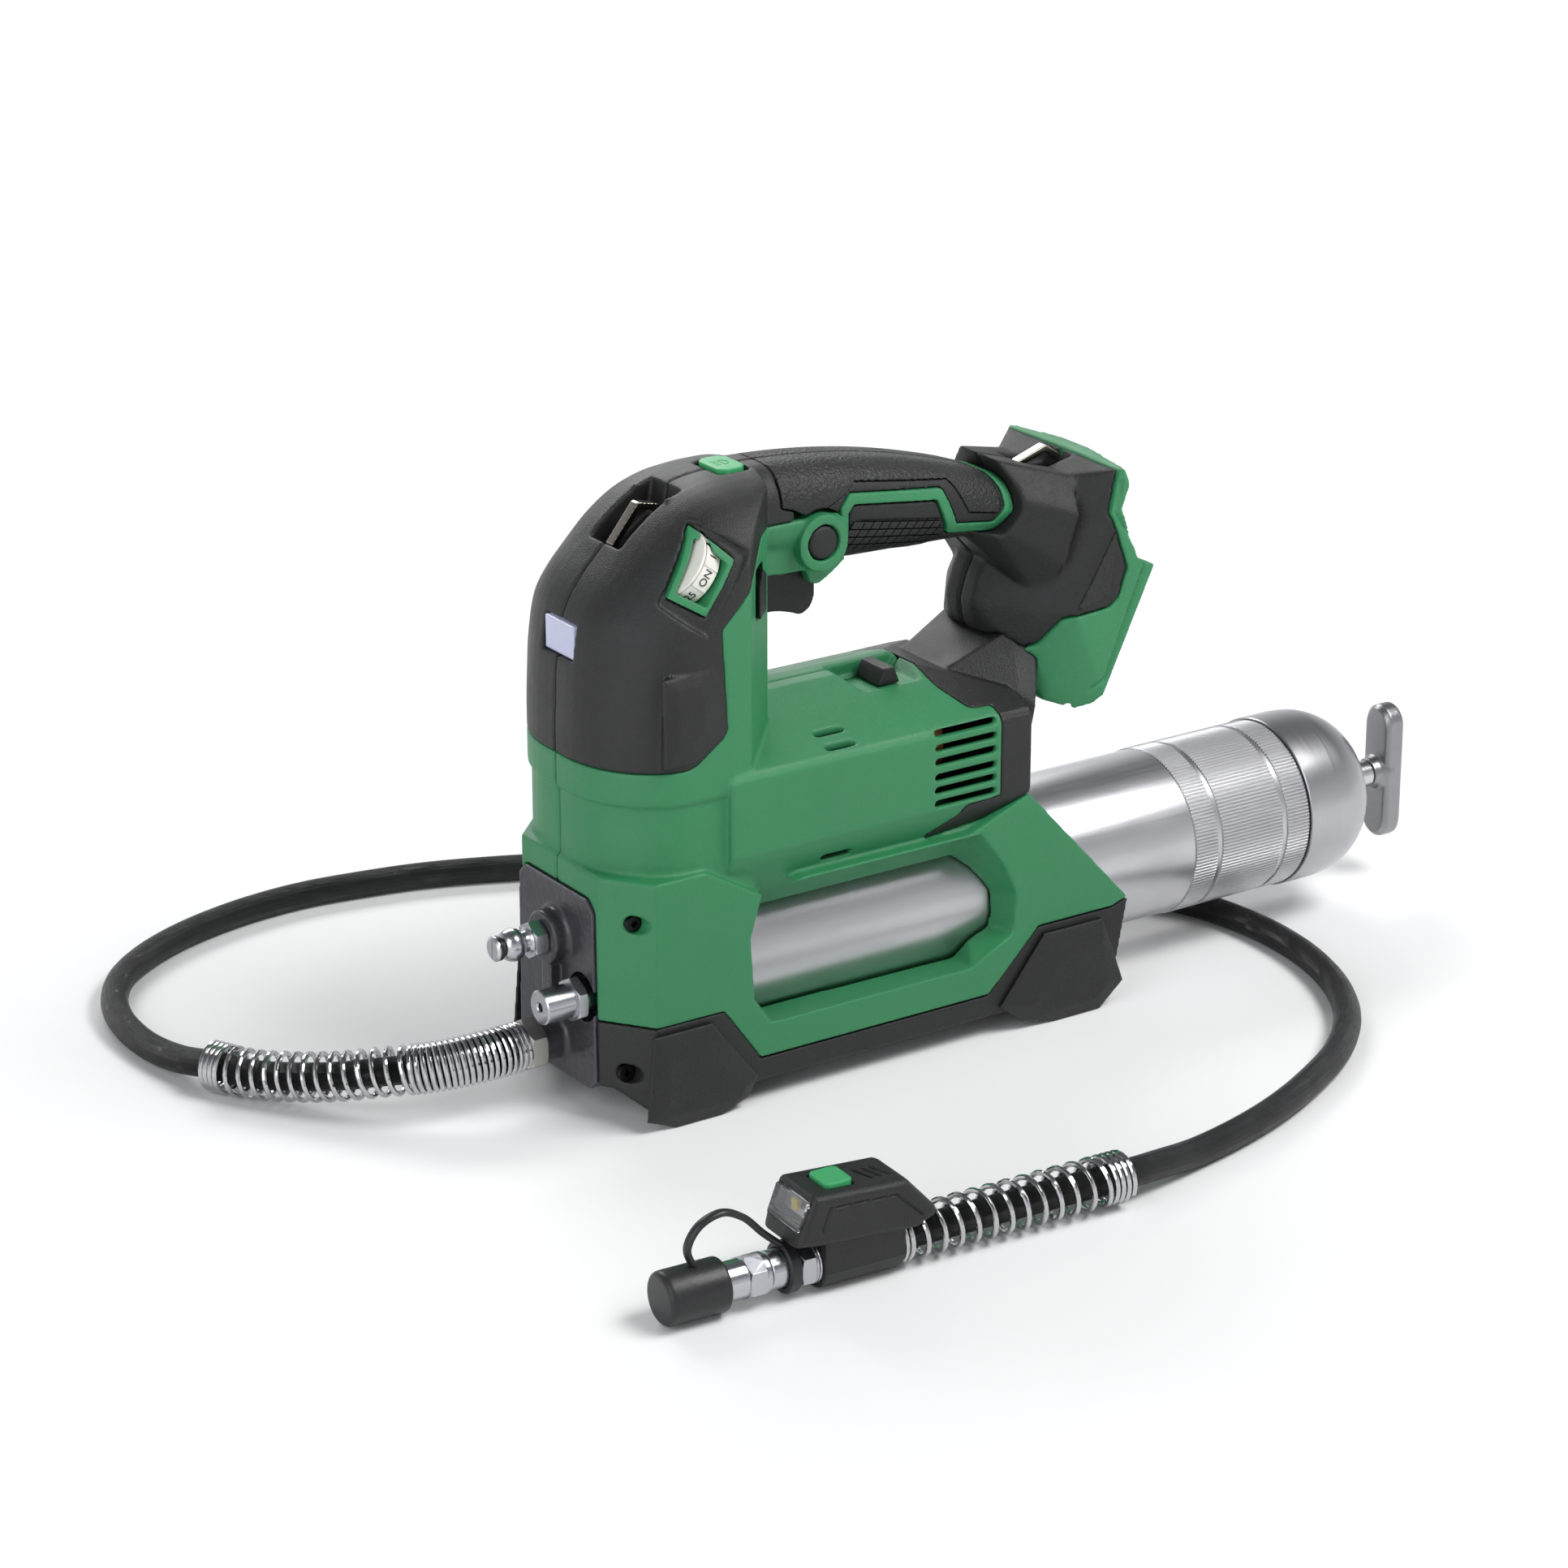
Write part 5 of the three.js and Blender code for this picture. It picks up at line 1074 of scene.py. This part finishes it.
def icon(strokes, width, place):
    """Low strokes laid on a face: paths in the face's own X and Y, put in place by a matrix."""
    solids = []
    for path in strokes:
        for (ax, ay), (bx, by) in zip(path, path[1:]):
            reach = width / 2 / max(math.hypot(bx - ax, by - ay), 1e-6)
            sx, sy = (by - ay) * reach, (ax - bx) * reach
            corners = [(ax - sx, ay - sy), (ax + sx, ay + sy), (bx + sx, by + sy), (bx - sx, by - sy)]
            solids.append(plate(corners, -0.3, 0.12))
    mesh = bpy.data.meshes.new("icon")
    bm = bmesh.new()
    for made in solids:
        bm.from_mesh(made)
    bm.to_mesh(mesh)
    bm.free()
    mesh.transform(place)
    return mesh


def arc_path(cx, cy, radius, start, end, steps=14):
    angles = [math.radians(start + (end - start) * i / steps) for i in range(steps + 1)]
    return [(cx + radius * math.cos(t), cy + radius * math.sin(t)) for t in angles]


def chamfered(x0, x1, half, cut):
    """A rectangle in X and Y with its corners cut off."""
    side = [(x0, cut - half), (x0 + cut, -half), (x1 - cut, -half), (x1, cut - half)]
    return side + [(x, -y) for x, y in reversed(side)]


lamp_pad = plate(chamfered(-199.4, -189.1, 7.4, 2.4), 155.6, 160.4)
piece("lamp_button_pad", softened(lamp_pad, 0.35, 4, 0.4), "lamp_switch", *BRIGHT, ["lamp_button"])
lamp_sign = icon([arc_path(0, 0, 2.2, -90, 90) + [(0, -2.2)], [(-1.2, -1.6), (-3, -2)],
                  [(-1.2, 0), (-3, 0)], [(-1.2, 1.6), (-3, 2)]],
                 0.35, Matrix.Translation((-194.2, 0, 160.4)))
piece("lamp_icon", lamp_sign, "lamp_switch", *BRIGHT, sharp=30)
selector = slab([(-143.6, 80.2), (-141.2, 85.8), (-137.2, 85.8), (-135, 80.2)],
                SELECTOR_Y - 6.5, SELECTOR_Y + 6.5)
piece("selector_knob", softened(selector, 0.35, 3), "selector", *BLACK, ["speed_selector"])
lens = combine(block(-253.9, -248, -8.4, 8.4, 109.2, 120),
               ("UNION", block(-248.1, -245.6, -9.6, 9.6, 108, 120.6)))
piece("front_lamp_lens", softened(lens, 0.35, 3), "tool", lamp_glass, "lamp_lens", ["front_lamp"])
FRONT_EYE = [(-228.5, 133.4), (-234.6, 141), (-225.6, 152.2), (-218.4, 150.6), (-220.6, 141.5)]
REAR_EYE = [(-80, 134), (-81.4, 140.2), (-69.3, 144.3), (-64.4, 140.8), (-65.4, 134)]
for name, path in (("strap_ring_front", FRONT_EYE), ("strap_ring_rear", REAR_EYE)):
    eye = combine(joined(band(path, 2.2)), ("INTERSECT", block(-300, 0, -1.9, 1.9, 0, 200)))
    piece(f"{name}_wire", softened(eye, 0.3, 3, 0.5), "tool", nickel_wire, "plated_wire", [name])


# ---------------------------------------------------------------- pump head and fittings
FILL_Z = 16.8
VALVE_Y, VALVE_Z = -15, 0.5
head_plate = combine(
    bar([(y * 0.988, z * 0.99) for y, z in HEAD_OUTLINE], -257.2, -251.5),
    ("UNION", lathe([(-262.6, 0), (-262.6, 8), (-262, 8.7), (-258.5, 8.7), (-256.5, 10.5), (-256.5, 0)], 64,
                    0, FILL_Z),
     lathe([(-265, 0), (-265, 6.7), (-258.5, 6.7), (-256.5, 8.7), (-256.5, 0)], 64, 0, OUTLET_Z),
     slab([(-261, 12), (-261, -14), (-256.5, -14), (-256.5, 12)], -2.8, 2.8)),
    ("DIFFERENCE", rod(-260, -250, 8, 64, VALVE_Y, VALVE_Z)),
)
head_rear = combine(block(-251.6, -222.2, -20, 20, -28.8, 34.4), ("UNION", rod(-222.3, -217.1, 26.2, 64)))
piece("pump_head_plate", softened(head_plate, 0.4, 5, 0.4), "tool", *HEAD_PAINT, ["pump_head"])
piece("pump_head_block", head_rear, "tool", *HEAD_PAINT, ["pump_head"])
nipple = combine(
    hexagon(-267.6, -262.9, 12.4, 0, FILL_Z),
    ("UNION", lathe([(-277, 0), (-277, 3.2), (-276.6, 3.9), (-275.8, 4.6), (-274.6, 5.15), (-273.4, 5.35),
                     (-272.2, 5.2), (-271.2, 4.75), (-270.2, 4), (-269.4, 3.4), (-268.4, 3.5), (-267.5, 4.6),
                     (-267.5, 0)], 64, 0, FILL_Z)))
piece("fill_nipple_body", nipple, "tool", *ZINC, ["fill_nipple"], sharp=28)
bleeder = combine(
    lathe([(-280.4, 0), (-280.4, 3.3), (-280.2, 3.6), (-279.8, 4.1), (-279.3, 4.1), (-278.9, 3.4),
           (-277.3, 3.2), (-277.3, 0)], 48, 0, FILL_Z),
    ("DIFFERENCE", block(-282, -279.9, -0.5, 0.5, FILL_Z - 6, FILL_Z + 6)))
piece("bleeder_screw_head", bleeder, "bleeder", *TURNED, ["bleeder_screw"], sharp=30)
piece("bleeder_ring", lathe([(-279.1, 2.8), (-279.1, 3.75), (-278.7, 4.0), (-278.1, 4.0), (-277.7, 3.75),
                             (-277.7, 2.8)], 48, 0, FILL_Z, closed=True),
      "bleeder", glossy_black, "black_rubber", sharp=60)
relief = combine(
    lathe([(-272.6, 0), (-272.6, 5.2), (-272.2, 5.6), (-261.5, 5.6), (-261.5, 0)], 64, VALVE_Y, VALVE_Z),
    ("UNION", hexagon(-262, -258.6, 15, VALVE_Y, VALVE_Z), rod(-258.7, -250.3, 5.4, 48, VALVE_Y, VALVE_Z)),
    ("DIFFERENCE", rod(-274, -269.5, 1.4, 24, VALVE_Y, VALVE_Z),
     lathe([(-273, 0), (-273, 2.4), (-272.2, 1.4), (-272.2, 0)], 24, VALVE_Y, VALVE_Z)))
piece("relief_valve_body", relief, "tool", *ZINC, ["relief_valve"], sharp=28)
piece("hose_nut", hexagon(-271, -265.3, 18, 0, OUTLET_Z, 0.9), "tool", worn_zinc, "zinc_plated",
      ["hose_fitting"], sharp=28)


# ---------------------------------------------------------------- barrel, cap and follower
BARREL_R = 28.5
KNURL_COUNT = 150


def knurled(x0, x1, low, high, count):
    """A ring with straight teeth along X all round it."""
    ring = []
    for i in range(count):
        for share, radius in ((0.0, low), (0.3, high), (0.6, high), (0.9, low)):
            turn = 2 * math.pi * (i + share) / count
            ring.append((radius * math.sin(turn), radius * math.cos(turn)))
    inner = [(y * 0.96, z * 0.96) for y, z in ring]
    corners = ((x0, inner), (x0, ring), (x1, ring), (x1, inner))
    return loft([[(x, y, z) for y, z in outline] for x, outline in corners], closed=True)


tube_profile = [(-217.2, 26.6), (-217.2, 28.3), (-216.8, BARREL_R), (-22.9, BARREL_R), (-22.7, 28.35),
                (26.9, 28.35), (26.9, 26.6)]
piece("barrel_sleeve", lathe(tube_profile, 160, closed=True), "barrel", barrel_steel, "barrel_steel",
      ["barrel_tube"], sharp=30)
for count, (x0, x1) in enumerate(((-22.5, -13.1), (-11, 15.1), (17.2, 26.6))):
    piece(f"barrel_knurl_{count + 1}", knurled(x0, x1, 28.38, 28.95, KNURL_COUNT), "barrel", knurl_steel,
          "barrel_steel", sharp=20)
cap_profile = [
    (27.3, 27.5), (27.3, 29.3), (27.6, 29.6), (30, 29.6),
    *smooth_outline([(40, 29.6), (46.5, 28.8), (52.6, 26.4), (57.8, 22.2), (61.2, 16.6), (62.9, 10.6),
                     (63.2, 7.2)], 1.2),
    (63.4, 6.4), (63.4, 5.1), (60.6, 5.1), (56.5, 16.5), (46, 24.6), (30, 27.5),
]
piece("barrel_cap_shell", lathe(cap_profile, 160, closed=True), "cap", cap_steel, "cap_steel",
      ["barrel_cap"], sharp=40)
piece("follower_rod_steel", rod(-167.7, 76.2, 4.7, 48), "follower", *TURNED, ["follower_rod"], sharp=40)
T_X = 84.3
T_HALF = 24.5
stadium = [(side * 6.6 * math.cos(math.radians(a)), side * (T_HALF - 6.6 + 6.6 * math.sin(math.radians(a))))
           for side in (1, -1) for a in range(0, 181, 12)]
t_handle = combine(
    hull([(T_X + dx, y * grow, z * (1 - (1 - grow) / 3)) for y, z in stadium
          for dx, grow in ((-4, 0.8), (-2.4, 1.0), (2.4, 1.0), (4, 0.8))]),
    ("UNION", lathe([(74, 0), (74, 5.2), (78, 5.3), (79.5, 5.8), (81.5, 7.2), (84, 7.2), (84, 0)], 48)),
    ("DIFFERENCE", rod(70, 76.4, 4.8, 48)))
t_handle = combine(t_handle, ("INTERSECT", block(76.5, 100, -40, 40, -40, 40)))
piece("t_handle_cast", softened(t_handle, 0.4, 5, 0.5), "follower", cast_zinc, "zinc_plated", ["t_handle"])


# ---------------------------------------------------------------- light head and coupler, in their own frame
BOX_SIDE = [(-9, 24), (-8, 24.8), (22.5, 23), (24, 22.2), (33.3, 12), (33.3, 9.2), (27, 6.4), (-3.8, 8.1),
            (-14.4, 9.6), (-13.2, 14.6)]
GUARD_END = 24
PANEL_LINE = [(-6, 13.2), (-3.4, 20.4), (19.2, 19.2), (28.4, 10.4)]
panel_grooves = [combine(joined(band(PANEL_LINE, 0.8)), ("INTERSECT", block(-60, 60, *sides, -20, 40)))
                 for sides in ((-14, -9.8), (9.8, 14))]
top_grooves = []
for start in (11.2, 14.2, 17.2):
    top_grooves.append(plate([(start, 3.6), (start + 0.9, 3.6), (start + 3.7, -4.4), (start + 2.8, -4.4)],
                             22.2, 30))
light_box = combine(
    rounded_slab(BOX_SIDE, 10.5, 7.5, 2, steps=6),
    ("UNION", block(-3.8, GUARD_END - 0.4, -8.6, 8.6, -2, 8),
     lathe([(-3.8, 0), (-3.8, 8.2), (-3.4, 8.6), (GUARD_END - 0.8, 8.6), (GUARD_END - 0.4, 8.2),
            (GUARD_END - 0.4, 0)], 64)),
    ("DIFFERENCE", rod(-5, 27, 5.9), rod(GUARD_END - 0.4, 40, GUARD_R + 0.4),
     slab([(-16, 23.2), (-16, 14.2), (-6.2, 14.2), (-4.4, 23.2)], -8.9, 8.9),
     block(-2.4, 7.7, -5.6, 5.6, 21.4, 30), *panel_grooves, *top_grooves),
)


def head_piece(name, mesh, body, material, slot, stands_for=(), sharp=35):
    """A piece drawn in the light head's own frame; all of them end the hose."""
    piece(name, mesh, body, material, slot, stands_for, sharp, HEAD)


head_piece("light_box", softened(light_box, 0.32, 3, 0.4), "tool", *BLACK, ["light_body"])
lens_shell = combine(
    slab([(-10.4, 22.9), (-13.6, 14.5), (-6.5, 14.5), (-4.8, 22.9)], -8.6, 8.6),
    ("DIFFERENCE", slab([(-8.6, 21.6), (-11.2, 15.8), (-6.2, 15.8), (-4.6, 21.6)], -7.4, 7.4)))
head_piece("light_lens_shell", lens_shell, "tool", clear_glass, "lamp_lens", ["light_lens"], sharp=30)
reflector = hull([(-6.6, -6.9, 15.9), (-6.6, 6.9, 15.9), (-4.9, -6.9, 21.4), (-4.9, 6.9, 21.4),
                  (-7.6, -6.9, 15.9), (-7.6, 6.9, 15.9), (-5.3, -6.9, 21.4), (-5.3, 6.9, 21.4)])
head_piece("light_reflector", reflector, "tool", reflector_grey, "lamp_lens", sharp=30)
head_piece("light_led", block(-8.4, -7, -1.6, 1.6, 17.4, 20.2), "tool", led_yellow, "lamp_lens", sharp=30)
power_button = plate(chamfered(-2.1, 7.4, 5.3, 1.2), 22.7, 25.5)
head_piece("light_button_pad", softened(power_button, 0.3, 6, 0.4), "light_switch", *BRIGHT,
           ["light_button"])
power_sign = icon([arc_path(0, 0, 1.9, 125, 415, 24), [(0, 0.6), (0, 2.6)]], 0.35,
                  Matrix.Translation((2.65, 0, 25.28)) @ Matrix.Rotation(math.radians(-90), 4, "Z"))
head_piece("power_icon", power_sign, "light_switch", dark_green, "green_housing", sharp=30)
coupler = combine(
    rod(-49, -19.6, 4.2),
    ("UNION", lathe([(-19.7, 0), (-19.7, 5.6), (-19.3, 6), (-10.5, 6), (-10.5, 0)], 64),
     hexagon(-10.6, -5.7, 15.8, chamfer=1.0), rod(-5.8, 3, 5.4)))
head_piece("coupler_stem", coupler, "tool", *ZINC, ["coupler_body"], sharp=28)
collar = combine(
    lathe([(-49.5, 0), (-49.5, 5.7), (-49.2, 6), (-27, 6), (-27, 0)], 64),
    ("UNION", hexagon(-27.6, -21.6, 14.5, chamfer=1.0),
     lathe([(-22.2, 0), (-22.2, 6.3), (-20.3, 6.3), (-20, 6), (-20, 0)], 64)),
    ("DIFFERENCE", rod(-60, 0, 4.6)))
head_piece("coupler_sleeve", collar, "collar", *ZINC, ["coupler_collar"], sharp=28)
cap_shell = combine(
    lathe([(-54.6, 0), (-54.6, 6.9), (-54.2, 7.7), (-53.4, 8.2), (-52.6, 8.3), (-35, 8.3), (-34.5, 8.0),
           (-34.3, 7.4), (-34.3, 6.4), (-50.6, 6.4), (-50.6, 0)], 96),
    ("UNION", block(-38.4, -34.6, -1.5, 1.5, -9.6, -7)))
TETHER = [(-43, 0, 7.2), (-45.5, -0.5, 14), (-42, -1, 20.5), (-34.5, -1, 23), (-27, -0.5, 19.5),
          (-20, 0, 12.5), (-13.8, 0, 7)]
head_piece("coupler_cap_shell", softened(cap_shell, 0.4, 2, 0.5), "tool", *CAP_RUBBER, ["coupler_cap"])


def strap(line, width, thick):
    """A flat strap along a line that stays near the plane Y = 0."""
    rings = []
    for point, (direction, _, _) in zip(line, frames_along(line)):
        side = Vector((0, 1, 0))
        out = direction.cross(side).normalized()
        rings.append([point + side * (width / 2 * math.cos(t)) + out * (thick / 2 * math.sin(t))
                      for t in full_turn(16)])
    return loft(rings)


head_piece("coupler_tether", strap(through(TETHER, 1), 3.4, 2.2), "tool", *CAP_RUBBER, ["coupler_cap"],
           sharp=60)
tether_ring = lathe([(-14.6, 6.3), (-14.6, 7.6), (-14.3, 7.9), (-11.3, 7.9), (-11, 7.6), (-11, 6.3)], 64,
                    closed=True)
head_piece("tether_ring", tether_ring, "tool", *CAP_RUBBER, ["coupler_cap"], sharp=40)
collar_coil = coil_line([Vector((x, 0, 0)) for x in (-5.6, -4.5, -3.5)], 6.7, [(2, 1.05)])
head_piece("coupler_coil", tube(collar_coil, 0.5, 8), "tool", *CHROME, sharp=60)


# ---------------------------------------------------------------- light and floor
def area_light(name, size, power, place, target, color=(1, 1, 1)):
    light = bpy.data.lights.new(name, "AREA")
    light.shape = "RECTANGLE"
    light.size, light.size_y = size
    light.energy = power
    light.color = color
    obj = bpy.data.objects.new(name, light)
    obj.location = place
    obj.rotation_euler = (Vector(target) - Vector(place)).to_track_quat("-Z", "Y").to_euler()
    bpy.context.scene.collection.objects.link(obj)


area_light("key", (0.9, 0.6), 20, (0.5, -0.7, 1.3), (0, 0, 0.08))
area_light("left_fill", (0.9, 1.2), 9, (-1.3, -0.5, 0.7), (-0.1, 0, 0.08), (0.96, 0.98, 1.0))
area_light("rear_rim", (1.2, 0.5), 14, (0.2, 1.3, 1.0), (0, 0, 0.1))

floor_shader = Shader("floor")
mottle = floor_shader.range(floor_shader.noise(3, 4), 0.3, 0.7, 0, 1)
floor_shader.set(Base_Color=floor_shader.mix(mottle, (0.86, 0.86, 0.86, 1), (0.83, 0.83, 0.83, 1)))
floor_shader.set(Roughness=0.75)
# Far from the tool the floor glows into a plain white backdrop, as a lit sweep of paper does.
reach = floor_shader.node("VectorMath", {0: floor_shader.place}, operation="LENGTH").outputs["Value"]
floor_shader.set(Emission_Color=(1, 1, 1, 1))
floor_shader.set(Emission_Strength=floor_shader.range(reach, 0.55, 2.2, 0.0, 0.85))
bm = bmesh.new()
bmesh.ops.create_grid(bm, x_segments=4, y_segments=4, size=6)
floor_mesh = bpy.data.meshes.new("floor")
bm.to_mesh(floor_mesh)
bm.free()
floor_mesh.materials.append(floor_shader.material)
floor = bpy.data.objects.new("floor", floor_mesh)
bpy.context.scene.collection.objects.link(floor)

world = bpy.data.worlds.new("studio")
bpy.context.scene.world = world
world.use_nodes = True
sky = world.node_tree
height = sky.nodes.new("ShaderNodeSeparateXYZ")
sky.links.new(sky.nodes.new("ShaderNodeTexCoord").outputs["Generated"], height.inputs[0])
fade = sky.nodes.new("ShaderNodeValToRGB")
for position, brightness in ((0.0, 0.95), (0.25, 0.9), (0.5, 0.26), (1.0, 0.14)):
    stop = fade.color_ramp.elements.new(position) if position not in (0.0, 1.0) else (
        fade.color_ramp.elements[0 if position == 0.0 else -1])
    stop.color = (brightness * 0.96, brightness * 0.98, brightness, 1)
sky.links.new(height.outputs["Z"], fade.inputs[0])
sky.links.new(fade.outputs["Color"], sky.nodes["Background"].inputs["Color"])
sky.nodes["Background"].inputs["Strength"].default_value = 0.8
bpy.context.scene.view_settings.view_transform = "Standard"
